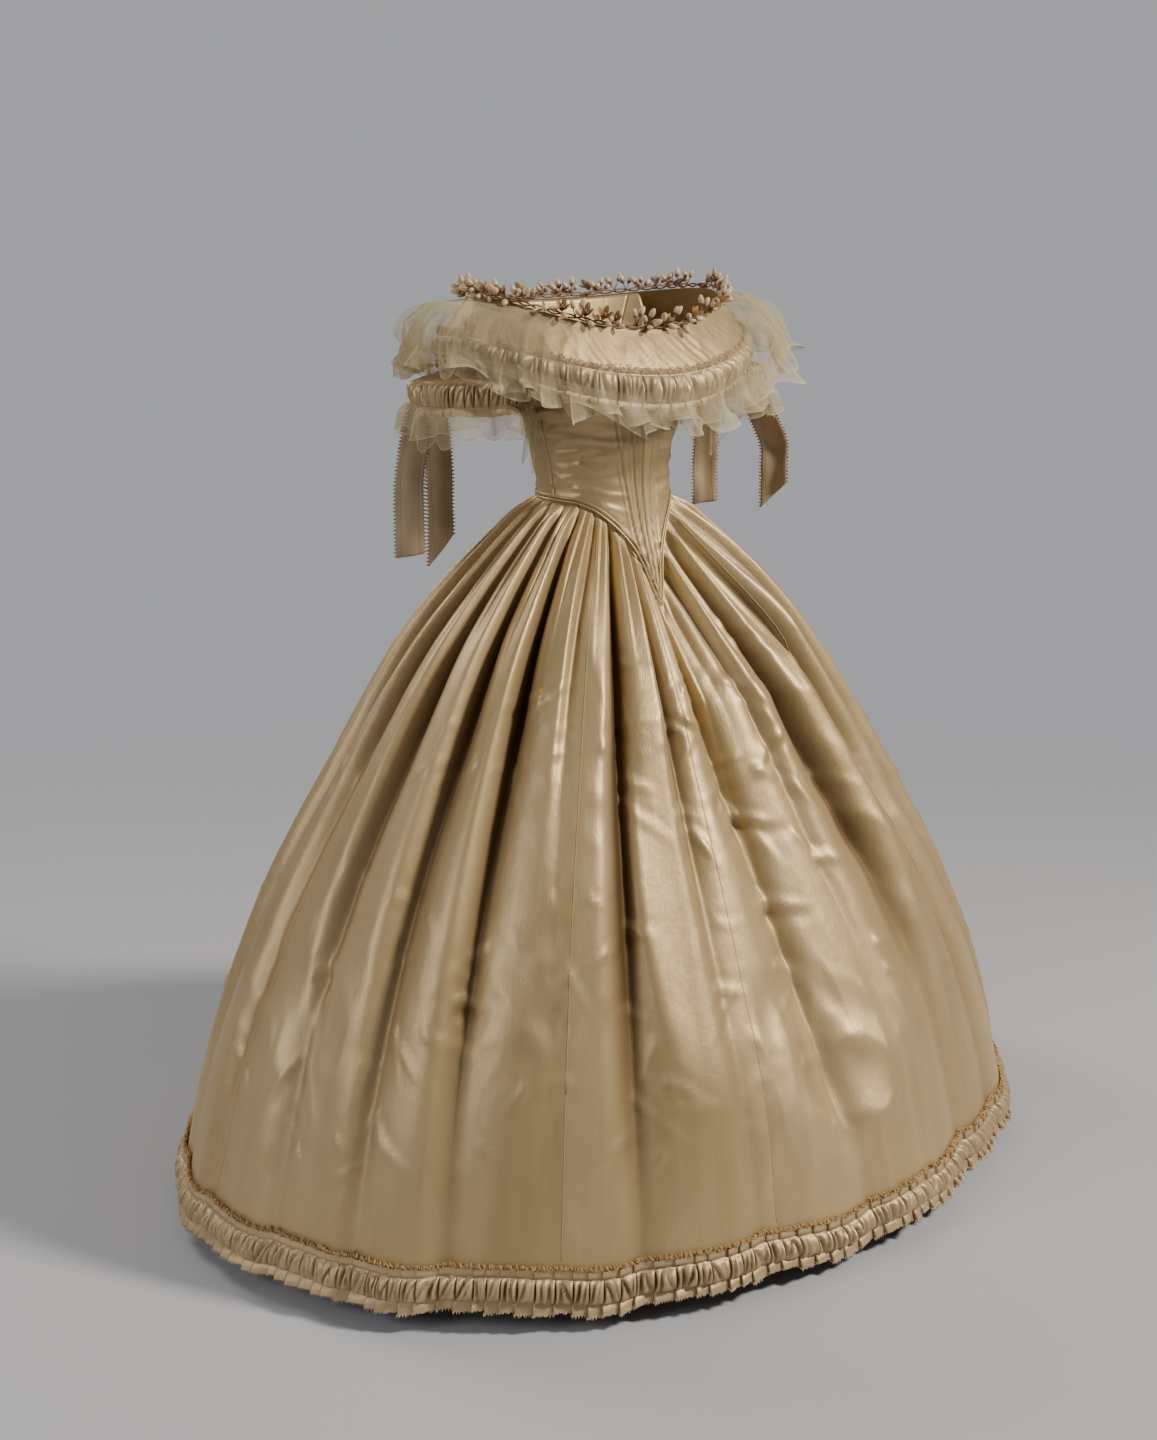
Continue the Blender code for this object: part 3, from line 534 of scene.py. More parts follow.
flutes = [  # psi at the top, at the hem, width, millimetres of hollow at 12, 30, 60, 92 % down
    (-172, -170, 5.5, 14, 26, 20, 10), (-157, -155, 5, 16, 32, 24, 8), (-142, -140, 5, 13, 24, 16, 4),
    (-127, -124, 5.5, 15, 30, 22, 6), (-112, -109, 5, 12, 22, 14, 4), (-98, -94, 5, 12, 22, 14, 4),
    (-84, -79, 4.6, 14, 28, 18, 4), (-70, -65, 4.6, 16, 32, 22, 5), (-57, -53, 4.2, 20, 38, 26, 6),
    (-44, -39, 4, 6, 6, 3, 0), (-32, -29, 4.4, 18, 44, 32, 6), (-18, -14, 4.2, 8, 24, 11, 4),
    (-5, 2, 4.6, 3, 24, 12, 6), (10, 13, 4, 6, 12, 6, 2), (22, 24, 4.2, 14, 28, 12, 4),
    (35, 36, 4.6, 15, 26, 11, 4), (50, 51, 5, 14, 28, 15, 4), (65, 66, 4.6, 13, 24, 14, 4),
    (80, 82, 5, 16, 32, 24, 8), (95, 98, 5, 12, 22, 14, 2), (111, 114, 5.4, 15, 30, 22, 8),
    (126, 129, 5, 13, 24, 16, 4), (142, 144, 5, 16, 30, 24, 8), (158, 159, 5.2, 13, 26, 18, 5)]
fluteLevels = (0.0, 0.12, 0.3, 0.6, 0.92)
hemSwings = [(-180, 0.0), (-150, 0.006), (-120, -0.006), (-94, 0.004), (-75, -0.006), (-60, 0.008),
             (-45, -0.002), (-25, 0.006), (-8, -0.004), (8, 0.006), (25, -0.008), (45, 0.006),
             (70, -0.006), (95, 0.004), (130, -0.006), (155, 0.006), (180, 0.0)]
breadths = [("BackRight", -180, -138), ("SideBackRight", -138, -93), ("SideRight", -93, -39),
            ("FrontRight", -39, -12), ("Front", -12, 36), ("FrontLeft", 36, 93), ("SideBackLeft", 93, 138),
            ("BackLeft", 138, 180)]
bodiceEdge = [(0.0, -0.157), (3.4, -0.131), (8.0, -0.095), (15.0, -0.065), (30.0, -0.032), (45.0, -0.012),
              (62.0, -0.002), (90.0, 0.0), (180.0, 0.0)]  # turn from the front, height
bodiceRings = [  # height, half width, y at the front, y at the back
    (-0.3, 0.21, -0.18, 0.18), (-0.16, 0.15, -0.136, 0.13), (-0.08, 0.124, -0.112, 0.108),
    (-0.03, 0.111, -0.098, 0.097), (0.000, 0.108, -0.093, 0.094), (0.03, 0.11, -0.09, 0.096),
    (0.08, 0.12, -0.092, 0.104), (0.13, 0.134, -0.096, 0.114), (0.18, 0.15, -0.102, 0.126),
    (0.2, 0.156, -0.104, 0.132)]
bust = dict(psi=33.0, z=0.165, width=24.0, height=0.055, fullness=0.012)


def ringPoint(psi, halfWidth, front, back, z):
    c, s = cosSin(psi)
    middle, depth = (front + back) / 2, (back - front) / 2
    return np.stack(np.broadcast_arrays(halfWidth * s, middle - depth * c, z), -1)


def edgeHeight(psi):
    return curves(np.abs(turnWithin(psi)), bodiceEdge, 1)[0]


def torso(psi, z):
    a, front, back = curves(z, bodiceRings, 1, 2, 3)
    full = bust["fullness"] * np.exp(-((np.abs(turnWithin(psi)) - bust["psi"]) / bust["width"]) ** 2
                                     - ((z - bust["z"]) / bust["height"]) ** 2)
    return ringPoint(psi, a + full, front - full, back, z)


# thick rolls below the waist, between the flutes: turn, width, millimetres of hollow, start, end
waistRolls = [
    (4, 1.7, 11, 0.13, 0.34), (16, 2, 13, 0.04, 0.3), (29, 2.2, 12, 0.03, 0.26), (43, 2.2, 14, 0.02, 0.28),
    (57, 2, 11, 0.01, 0.22), (72, 2.2, 13, 0.01, 0.26), (88, 2, 10, 0.01, 0.2), (103, 2.2, 13, 0.01, 0.26),
    (119, 2.2, 11, 0.01, 0.22), (134, 2, 13, 0.01, 0.26), (150, 2.2, 12, 0.01, 0.22),
    (166, 2, 13, 0.01, 0.26), (-25, 1.6, 7, 0.06, 0.22), (-38, 1.6, 6, 0.05, 0.2),
    (-51, 1.8, 8, 0.03, 0.24), (-64, 1.8, 8, 0.02, 0.22), (-77, 1.8, 9, 0.02, 0.24),
    (-91, 2, 10, 0.01, 0.24), (-105, 2, 10, 0.01, 0.22), (-119, 2.2, 12, 0.01, 0.26),
    (-134, 2, 11, 0.01, 0.22), (-149, 2.2, 13, 0.01, 0.26), (-165, 2, 11, 0.01, 0.22)]
# creases pressed or pulled into the skirt, in millimetres and degrees: turn, distance below the waist,
# length, width, lean from upright, height
skirtCreases = [
    (-54.9, 640, 60, 7, 62, 4.5), (-54, 655, 80, 10, 80, -5), (-55.5, 610, 50, 6, 40, 3),
    (-80.2, 620, 50, 6, 55, 4), (-81.5, 640, 60, 8, 75, -4.5), (-82.6, 495, 70, 7, 70, 3.5),
    (-69.6, 515, 60, 7, 60, 3.5), (-62.7, 537, 50, 6, 45, 3), (-92, 795, 60, 8, 30, 3.5),
    (-91, 930, 60, 8, 40, 3), (1.5, 454, 60, 7, 65, 5), (2.5, 470, 90, 10, 85, -5),
    (0.7, 568, 70, 8, 70, 5.5), (1.5, 590, 80, 9, 95, -5), (-2.1, 650, 70, 7, 60, 4.5),
    (-2.5, 774, 60, 8, 75, 4.5), (-3.9, 433, 60, 7, 50, 4.5), (-5, 420, 70, 9, 100, -4),
    (-30.5, 660, 60, 6, 60, 3.5), (-32.7, 320, 60, 7, 55, 4.5), (-31, 300, 60, 7, 110, 4),
    (-28.7, 557, 60, 7, 70, 4), (-27.4, 372, 50, 6, 65, 3.5), (-22.8, 784, 70, 9, 80, 3),
    (-16.6, 423, 60, 7, 60, 3.5), (-15, 650, 60, 6, 75, 3), (-8.6, 310, 70, 7, 55, 4.5),
    (-7.5, 260, 50, 6, 100, 4), (-43.6, 320, 50, 5, 70, 2.5), (-43.5, 237, 50, 5, 80, 2.5),
    (-35.4, 506, 50, 6, 60, 2.5), (-55.7, 351, 60, 6, 50, 3), (5.9, 764, 80, 11, 60, 2.2),
    (17.4, 650, 70, 9, 65, 4), (7.6, 392, 60, 7, 60, 4), (14, 520, 70, 8, 75, 4), (24, 420, 60, 7, 60, 3.5),
    (33, 560, 70, 8, 70, 3.5), (40, 700, 70, 9, 60, 3.5), (45, 350, 60, 7, 50, 3.5),
    (58, 480, 70, 8, 65, 4), (63, 640, 60, 8, 80, 3.5), (76, 400, 60, 7, 60, 3.5), (84, 560, 80, 9, 70, 4),
    (92, 720, 70, 8, 50, 3.5), (104, 430, 60, 7, 65, 3.5), (112, 610, 70, 8, 75, 4),
    (121, 340, 60, 7, 55, 3.5), (131, 520, 70, 8, 65, 4), (139, 740, 70, 9, 60, 3.5),
    (150, 450, 60, 7, 70, 3.5), (161, 600, 80, 8, 60, 4), (173, 380, 60, 7, 75, 3.5),
    (-176, 680, 70, 8, 65, 4), (-166, 500, 70, 8, 60, 3.5), (-155, 350, 60, 7, 70, 4),
    (-149, 640, 70, 8, 55, 3.5), (-137, 450, 60, 7, 75, 3.5), (-129, 780, 70, 9, 60, 3.5),
    (-121, 560, 70, 8, 65, 4), (-110, 400, 60, 7, 60, 3.5), (-103, 660, 70, 8, 70, 3.5)]


def inMetres(creases):
    return [(turn, drop / 1000, long / 1000, wide / 1000, lean, height / 1000)
            for turn, drop, long, wide, lean, height in creases]


def pressCreases(psi, down, reach, table, rise=1.0, spread=1.0):
    total = np.zeros(np.broadcast(psi, down).shape)
    for turn, drop, long, wide, lean, height in table:
        sideways = np.radians(turnWithin(psi - turn)) * reach
        below = down - drop
        c, s = cosSin(lean)
        along, across = sideways * s + below * c, (sideways * c - below * s) / (wide * spread)
        run = along / long + 0.35
        taper = ease(run, 0, 0.16) * np.clip(1 - run, 0, 1) ** 1.4
        total += rise * height * taper * (hump(across) - 0.35 * hump((across - 1.5) / 0.9))
    return total


def scatterCreases(seed, count):  # lesser creases, most of them beside the folds
    pick = np.random.default_rng(seed)
    rows = []
    for _ in range(count):
        row, down = flutes[pick.integers(len(flutes))], pick.uniform(0.2, 0.88)
        rows.append((row[0] + (row[1] - row[0]) * down + pick.normal() * 3.6, down, pick.uniform(0.05, 0.14),
                     pick.uniform(0.0045, 0.0085), pick.choice([-1, 1]) * pick.uniform(22, 84),
                     pick.uniform(0.0014, 0.0034)))
    return rows


def seamPull(psi, down, reach, turn, spread=0.011):  # a sewn seam: a narrow valley with drawn cloth beside it
    sideways = np.radians(turnWithin(psi - turn)) * reach
    pick = np.random.default_rng(int(turn) + 500)
    waves = [np.cos(2 * np.pi * down / pick.uniform(0.016, 0.05) + pick.uniform(0, 6.3)) for _ in range(5)]
    drawn = sum(waves) / 5
    return (-0.0005 * hump(sideways / 0.003)
            + 0.0011 * drawn * hump(sideways / spread) * (0.25 + 0.5 * hump((down - 0.55) / 0.35)))


def saw(share, top):  # rises to one at the top, then falls back to nought
    return np.where(share < top, share / top, (1 - share) / (1 - top))


def pleatFaces(psi, depth):  # each flat face runs from one fold's hollow to the next, with a tuck in it
    lines = np.array(column(flutes, 0) + [flutes[0][0] + 360.0])
    w = (psi - (flutes[0][1] - flutes[0][0]) * depth - lines[0]) % 360 + lines[0]
    k = np.clip(np.searchsorted(lines, w, side="right") - 1, 0, len(lines) - 2)
    share = (w - lines[k]) / (lines[k + 1] - lines[k])
    share = np.where(turnWithin(psi) > skirtCut["turnsOver"], share, 1 - share)
    tuck = (share * 2 + 0.15) % 1.0
    return skirtCut["pleatRise"] * ((saw(share, 0.08) - 0.5) * (1 - ease(depth, 0.1, 0.42))
                                    + 0.4 * (saw(tuck, 0.1) - 0.5) * (1 - ease(depth, 0.04, 0.24)))


def foldHollows(psi, depth):  # the cloth rolls over one side of each fold and slopes gently out of the other
    cut, hollow = skirtCut, np.zeros(psi.shape)
    narrow = 0.5 + 0.5 * ease(depth, 0.1, 0.42)        # near the waist the folds are shut
    for topTurn, hemTurn, wide, *levels in flutes:
        turn = topTurn + (hemTurn - topTurn) * depth
        off = turnWithin(psi - turn) / (wide * narrow)
        steep = off * (1 if topTurn > cut["turnsOver"] else -1) > 0
        off = off / cut["foldWidth"] * np.where(steep, 1.7, 0.74)
        levels = [cut["foldDepth"] * (level / 1000) for level in levels]
        levels[-1] += cut["hemFold"]
        across = np.exp(-np.abs(off) ** np.where(steep, 1.9, 1.15))
        hollow -= curveThrough(depth, fluteLevels, [0.0, *levels]) * across
    for turn, wide, deep, start, end in waistRolls:
        off = turnWithin(psi - turn) / wide
        strength = (0.9 if turn > cut["turnsOver"] else 0.35) * (deep / 1000)
        down = ease(depth, start, start + 0.05)
        hollow -= strength * down * (1 - ease(depth, end * 0.5, end)) * np.exp(-np.abs(off) ** 1.3)
    return hollow


def skirtPoint(psi, v, out=0.0):
    psi, v = np.broadcast_arrays(np.asarray(psi, float), np.asarray(v, float))
    cut = skirtCut
    top = edgeHeight(psi) + cut["tuck"]
    z = top + (-cut["drop"] - top) * v
    depth = np.clip(-z / cut["drop"], 0, 1)
    g = curves(depth, skirtRings, 1)[0]
    a, front, back = (skirtWaist[k] + (skirtHem[k] - skirtWaist[k]) * g for k in skirtHem)
    c, s = cosSin(psi)
    base = np.stack([a * s, -np.where(c > 0, front, back) * c], -1)
    radius = length(base)
    below = edgeHeight(psi) - z
    inside = length(torso(psi, np.maximum(z, cut["torsoEnd"]))[..., :2]) - cut["solidWall"] - cut["torsoGap"]
    away = np.abs(turnWithin(psi))
    slope = 0.52 + 0.6 * ease(away, 20, 55) + 1.3 * ease(away, 45, 85)
    room = cut["room"] + 0.012 * hump(turnWithin(psi) / 14)
    limit = inside + slope * np.maximum(below - room, 0)
    mix = np.clip(0.5 + (limit - radius) / 0.03, 0, 1)
    short = limit * (1 - mix) + radius * mix - 0.0075 * mix * (1 - mix)
    folds = foldHollows(psi, depth) + pleatFaces(psi, depth)
    z = z + cut["hemWave"] * unevenWave(psi, 14, 9, 24) * ease(depth, 0.84, 1.0)
    swing = curves(turnWithin(psi), hemSwings, 1)[0] * ease(depth, 0.5, 1.0)
    reach = short + folds * ease(below, 0.0, 0.03) + swing + out
    at = np.stack([base[..., 0], base[..., 1], z], -1)
    free = ease(below, 0.01, 0.08) * (1 - 0.6 * ease(depth, 0.86, 0.95))
    crushed = ease(crumple(at, 13, 0.4), -0.2, 1.3) * (0.8 + 0.9 * ease(depth, 0.4, 0.62)
                                                        - 0.7 * ease(depth, 0.68, 0.82))
    crisp = 0.45 - np.abs(crumple(at, 12, 0.1, (1, 1, 0.75)))
    drawn = 0.45 - np.abs(crumple(at, 15, 0.06, (1, 1, 0.3)))
    reach = reach + free * (0.0028 * crumple(at, 11, 0.26, (1, 1, 0.22)) + 0.003 * crushed * crisp
                            + (0.0005 + 0.0011 * crushed) * drawn)
    creases = inMetres(skirtCreases) + scatterCreases(16, cut["lesserCreases"])
    reach = reach + free * pressCreases(psi, -z, reach, creases, cut["creaseRise"], cut["creaseWidth"])
    for _, start, _ in breadths:
        reach = reach + free * seamPull(psi, -z, reach, start)
    xy = base / radius[..., None] * reach[..., None]
    return np.stack([xy[..., 0] + cut["hemShift"] * g, xy[..., 1], z], -1)


def sewSkirt():
    cut = skirtCut
    share = np.linspace(0, 1, cut["rows"])
    rows = (0.35 * share + 0.65 * share ** 1.35) * (1 - cut["lift"] / cut["drop"])
    step = 360 / cut["columnsPerTurn"]
    psi, v = crossed(-180 + step * np.arange(cut["columnsPerTurn"] + 1), rows)
    grid = skirtPoint(psi, v)
    # painted shade: each point's depth below its highest neighbours, from shadeFrom over shadeDepth, darkens
    # the satin there
    hollow = hollowOf(length(grid[:-1, :, :2]), 9, cut["shadeFrom"], cut["shadeDepth"])
    hollow = np.concatenate([hollow, hollow[:1]])
    for label, start, end in breadths:
        own = slice(int(round((start + 180) / step)), int(round((end + 180) / step)) + 1)
        layCloth("skirt" + label, grid[own], skirtSatin,
                 marks={"hollow": hollow[own]})


def stitchSeams():  # the thread that shows along each breadth's seam
    cut = skirtCut
    down = np.linspace(cut["seamFrom"], cut["seamTo"], 150)
    lines = [skirtPoint(np.full(down.shape, float(start)), down, cut["seamOut"]) for _, start, _ in breadths]
    tubes = [sweepTube("seam", line, cut["seamThick"], 4, goldThread) for line in lines]
    dressPiece(joinPieces(tubes, "skirtSeams"))


sewSkirt()
stitchSeams()
print("skirt sewn")


# cloth gathered in uneven units along a turn, each unit with the same steps across it
def unevenUnits(turns, count, spread, phases, levels, seed, closed=True):
    pick = np.random.default_rng(seed)
    wide = pick.uniform(*spread, count)
    edges = turns[0] + (turns[1] - turns[0]) * np.concatenate([[0], np.cumsum(wide)]) / wide.sum()
    own, phase = np.repeat(np.arange(count), len(phases)), np.tile(phases, count)
    if not closed:
        own, phase = np.append(own, count - 1), np.append(phase, 1.0)
    p, v = crossed(phase, levels)
    own = np.broadcast_to(own[:, None], p.shape)

    def each(low, high):  # one value for each unit
        return pick.uniform(low, high, count)[own]

    return p, v, edges[own], (edges[1:] - edges[:-1])[own], each


ribbonSteps = np.array([0.0, 0.03, 0.09, 0.17, 0.25, 0.33, 0.42, 0.51, 0.6, 0.69, 0.78, 0.87, 0.95])
ribbonTab, ribbonEdge = np.array([0.0, 0.45, 0.86]), np.array([0.14, 0.5, 0.8, 1.0])
ribbonPuff = np.array([0.0, 0.05, 0.12, 0.22, 0.34, 0.46, 0.58, 0.7, 0.81, 0.9, 0.96, 1.0])


# ribbon gathered at two lines: flat tabs at both edges and folded puffs between
def ruchedGrid(place, turns, cut):
    head, foot = cut["head"], cut["foot"]
    levels = [head * ribbonTab, head + (foot - head) * ribbonPuff, foot + (1 - foot) * ribbonEdge]
    p, v, edge, pitch, each = unevenUnits(turns, cut["units"], (0.76, 1.28), ribbonSteps,
                                          np.concatenate(levels), cut["seed"])
    inside = np.clip((v - head) / (foot - head), 0, 1)
    puff = np.sin(np.pi * inside) ** 0.55
    across = inside - 0.5
    first = hump((p - 0.3 - each(-0.6, 0.6) * across) / each(0.055, 0.1) / cut["dent"]) * each(0.5, 1.0)
    second = hump((p - 0.66 - each(-0.7, 0.7) * across) / each(0.05, 0.09) / cut["dent"]) * each(0.2, 0.95)
    third = hump((p - each(0.4, 0.6) - each(-0.9, 0.9) * across) / 0.05) * each(0.0, 0.5)
    sides = hump(np.minimum(p, 1 - p) / 0.075)
    dents = np.clip(np.maximum(np.maximum(first, second), sides) + 0.5 * third, 0, 1)
    tab = np.where(p < 0.03, 0.15, 1 - 0.85 * (p - 0.03) / 0.97) * each(0.7, 1.15)
    toLine = np.minimum(np.abs(v - head), np.abs(v - foot))
    gather = 1 - 0.8 * np.where((inside == 0) | (inside == 1), hump(toLine / 0.02), 0)
    flare = 0.7 + 0.5 * ease(v, foot, 1.0)
    out = cut["tabOut"] * tab * (1 - puff) * gather * flare
    out = out + cut["puffOut"] * puff * (1 - 0.9 * dents) * each(0.75, 1.1)
    turn = edge + pitch * p
    turn = turn - cut["overlap"] * pitch * (1 - p) ** 2 * (0.3 + 0.7 * (1 - puff))
    turn = turn + pitch * 0.1 * puff * each(-1, 1) * np.sin(np.pi * p)
    drop = each(-0.05, 0.06) * np.clip((v - foot) / (1 - foot), 0, 1)
    # painted shade: dark in the dents of each puff and beside each tab's fold, scaled by the cut's shade
    hollow = puff * dents ** 1.5 + (1 - puff) * (0.3 + 0.6 * ease(v, foot, 1.0)) * hump(p / 0.05)
    return place(turn, v + drop, out), {"hollow": np.clip(hollow * cut["shade"], 0, 1)}


hemTrim = dict(height=0.058, offset=0.0018, units=176, head=0.2, foot=0.76, tabOut=0.0075, puffOut=0.0145,
               overlap=0.17, shade=1.0, dent=1.4, seed=21, end=1.004, edgingAt=0.01, edgingOut=0.0024,
               loop=dict(width=0.005, height=0.0058, thick=0.0009), loopPitch=0.0038, loopRise=0.0034,
               picotPitch=0.0042)


def onHem(psi, v, out):
    end = hemTrim["end"]
    top = end - hemTrim["height"] / skirtCut["drop"]
    return skirtPoint(psi, top + (end - top) * v, hemTrim["offset"] + out)


def trimHem():
    t = hemTrim
    grid, marks = ruchedGrid(onHem, (-180, 180), t)
    layCloth("hemRuching", grid, ribbonSatin,
             ["hem_ruching_%d" % (k + 1) for k in range(8)], closed=True, marks=marks)
    edgeLoops("hemPicots", grid[:, -1], t["picotPitch"], toothMesh(0.0005), paleThread, (0.8, 1.2, 3), 0.15,
              side=-1.0)
    psi = around(1440)
    line = onHem(psi, np.full(psi.shape, t["edgingAt"]), t["edgingOut"])
    edgeLoops("hemEdging", line, t["loopPitch"], curlMesh(**t["loop"]), goldThread, (0.6, 1.15, 5), 0.5, 3,
              t["loopRise"])


trimHem()
print("hem trimmed")


# bodice
bodiceCut = dict(underarm=0.188, clearance=0.0005, wall=0.0009, solidWall=0.002)
shoulderRings = {  # half width right, left, y front, y back, height at the front, side, back
    "neck": (0.222, 0.222, -0.112, 0.15, 0.25, 0.3, 0.285),
    "drape": (0.25, 0.25, -0.138, 0.172, 0.212, 0.268, 0.25),
    "bandTop": (0.266, 0.266, -0.15, 0.182, 0.184, 0.242, 0.22),
    "bandFoot": (0.268, 0.268, -0.154, 0.184, 0.143, 0.214, 0.182),
    "netNeck": (0.2275, 0.2275, -0.1185, 0.156, 0.2465, 0.2965, 0.2815),
    "netPuff": (0.288, 0.296, -0.151, 0.186, 0.224, 0.288, 0.264),
    "netSide": (0.318, 0.336, -0.17, 0.202, 0.184, 0.258, 0.224),
    "netBand": (0.318, 0.346, -0.173, 0.206, 0.142, 0.23, 0.184),
    "netEdge": (0.324, 0.356, -0.19, 0.22, 0.116, 0.202, 0.146)}


def shoulder(psi, name, out=0.0):
    right, left, front, back, zFront, zSide, zBack = shoulderRings[name]
    c, s = cosSin(psi)
    z = np.where(c > 0, zFront + (zSide - zFront) * s ** 2, zBack + (zSide - zBack) * s ** 2)
    return ringPoint(psi, np.where(s < 0, right, left) + out, front - out, back + out, z)


def bodiceBase(psi, t):
    psi, t = np.broadcast_arrays(np.asarray(psi, float), np.asarray(t, float))
    low = edgeHeight(psi)
    z = low + (bodiceCut["underarm"] - low) * np.clip(t / 0.8, 0, 1)
    neck = shoulder(psi, "neck", -bodiceCut["solidWall"] - bodiceCut["clearance"]) - [0, 0, 0.001]
    w = np.clip((t - 0.8) / 0.2, 0, 1)[..., None]
    return torso(psi, z) * (1 - w) + neck * w


bodicePanels = [("FrontRight", -82, 0), ("FrontLeft", 0, 82), ("SideBackLeft", 82, 138),
                ("BackLeft", 138, 180), ("BackRight", -180, -138), ("SideBackRight", -138, -82)]
# seams and darts with a bone beside them: turn at the bust, at the waist and at the point
bones = [(-25, -15.0, -1.7), (25, 15.0, 1.7), (-11, -7.0, -0.9), (11, 7.0, 0.9), (0, 0, 0)]
plainSeams = [-82, 82, -138, 138, 180]
# creases across the bodice, in the same order
bodiceCreases = [
    (-58, -150, 110, 4.5, 84, 1.6), (-50, -128, 120, 5, 92, 1.8), (-62, -108, 100, 4, 97, 1.6),
    (-46, -90, 110, 4.5, 86, 1.5), (-60, -70, 90, 4, 95, 1.8), (-44, -50, 90, 4, 84, 1.5),
    (-62, -34, 80, 3.5, 99, 1.8), (-50, -16, 70, 3.5, 88, 1.6), (-66, -2, 50, 3, 102, 1.4),
    (-34, -10, 70, 4, 78, 1.4), (-30, -66, 60, 4, 97, 1.1), (-26, 14, 50, 3.5, 70, 1.2),
    (30, -120, 90, 4.5, 92, 1.5), (46, -98, 100, 4.5, 86, 1.6), (34, -70, 80, 4, 96, 1.4),
    (52, -50, 90, 4, 84, 1.6), (40, -28, 80, 4, 94, 1.5), (56, -8, 70, 3.5, 88, 1.4),
    (100, -130, 90, 4.5, 86, 1.5), (112, -90, 90, 4.5, 94, 1.6), (104, -50, 80, 4, 88, 1.4),
    (116, -16, 70, 4, 96, 1.4), (158, -120, 70, 4.5, 86, 1.4), (152, -66, 70, 4, 95, 1.4),
    (160, -20, 60, 4, 88, 1.3), (-100, -128, 90, 4.5, 92, 1.5), (-110, -84, 90, 4.5, 86, 1.6),
    (-104, -44, 80, 4, 95, 1.4), (-116, -12, 70, 4, 88, 1.4), (-156, -126, 70, 4.5, 94, 1.4),
    (-150, -74, 70, 4, 86, 1.4), (-160, -28, 60, 4, 95, 1.3)]


def boneTurn(row, z):
    return curveThrough(z, [-0.157, -0.1, 0.0, 0.16], [row[2], row[1] * 0.52, row[1], row[0]])


def bodicePoint(psi, t, out=0.0):
    at = bodiceBase(psi, t)
    z = at[..., 2]
    flat = length(at[..., :2])
    lift = pressCreases(psi, -z, flat, inMetres(bodiceCreases), 1.5)
    crisp = 0.45 - np.abs(crumple(at, 31, 0.085, (0.8, 0.8, 3.6)))
    lift = lift + 0.0022 * crisp * ease(np.abs(turnWithin(psi)), 8, 26)
    low = edgeHeight(psi)
    for row in bones:
        off = np.radians(turnWithin(psi - boneTurn(row, z))) * flat
        strong = 1 - ease(z, 0.1, 0.17)
        shirr = 0.5 + 0.5 * np.cos(2 * np.pi * z / 0.0052 + row[0])
        near = 1 - ease(z, -0.06, 0.06)
        lift = lift + strong * (-0.0016 * hump(off / 0.0013) + 0.001 * hump((off - 0.0038) / 0.0022)
                                + 0.001 * hump((off + 0.0038) / 0.0022)
                                + 0.0016 * (shirr - 0.5) * near * hump(off / 0.0066))
    for turn in plainSeams:
        off = np.radians(turnWithin(psi - turn)) * flat
        drawn = np.cos(2 * np.pi * z / 0.021 + turn) + 0.6 * np.cos(2 * np.pi * z / 0.0093 + 2.0 * turn)
        lift = lift - 0.001 * hump(off / 0.0018) + 0.0006 * drawn * hump(off / 0.009)
    lift = lift * ease(z, low - 0.001, low + 0.012) * (1 - ease(t, 0.86, 0.98))
    return at + outwardOf(at) * (lift + out)[..., None]


def sewBodice():
    for label, start, end in bodicePanels:
        front = "Front" in label
        share = np.linspace(0, 1, int((end - start) * (1.1 if front else 0.9)) + 1)
        turns = np.sort(np.sign(start + end) * 82 * share ** 1.45) if front else start + (end - start) * share
        psi, v = crossed(turns, np.linspace(0, 1, 90))
        away = np.abs(np.abs(turnWithin(psi)) - 90)
        top = 0.8 + 0.198 * ease(away, 24, 44)
        layCloth("bodice" + label, bodicePoint(psi, v * top), bodiceSatin,
                 wall=bodiceCut["wall"])


sewBodice()
print("bodice sewn")


def pointPath(out, down):  # the pointed lower edge, moved down and out in its own plane
    half = np.linspace(0, 1, 150)[1:] ** 1.6 * 180
    psi = np.concatenate([-half[::-1][1:], [0.0], half])
    edge = torso(psi, edgeHeight(psi))
    ahead = unitRows(torso(psi + 0.5, edgeHeight(psi + 0.5)) - torso(psi - 0.5, edgeHeight(psi - 0.5)))
    below = unitRows(np.cross(outwardOf(edge), ahead))
    below *= -np.sign(below[:, 2:3])
    outward = np.cross(ahead, below)
    outward *= np.sign(np.sum(outward * edge * [1, 1, 0], axis=1, keepdims=True))
    return edge + below * down + outward * out


piping = [("pointPiping", 0.0013, 0.0019, 0.0015, ["waist_piping"]),
          ("pointPipingUpper", 0.0012, -0.0042, 0.0012, [])]  # name, out, down, radius, nodes


def pipePoint():
    for name, out, down, radius, nodes in piping:
        dressPiece(sweepTube(name, pointPath(out, down), radius, 8, bodiceSatin, True), nodes)
    spots, ahead = evenPoints(pointPath(0.0007, -0.0013), 0.0034)
    a, b = 0.001, 0.0002
    dash = shapeMesh("stitch", [(-a, -b, 0), (a, -b, 0), (a, b, 0), (-a, b, 0), (-0.0008, 0, 0.0003),
                                (0.0008, 0, 0.0003)],
                     [(0, 1, 5, 4), (2, 3, 4, 5), (1, 2, 5), (3, 0, 4), (3, 2, 1, 0)])
    out = spots * [1, 1, 0]
    turns = frames(out, np.cross(ahead, out))
    dressPiece(setAlong("pointStitches", spots, turns, dash, paleThread, (0.9, 1.1, 4)))


pipePoint()
print("point piped")


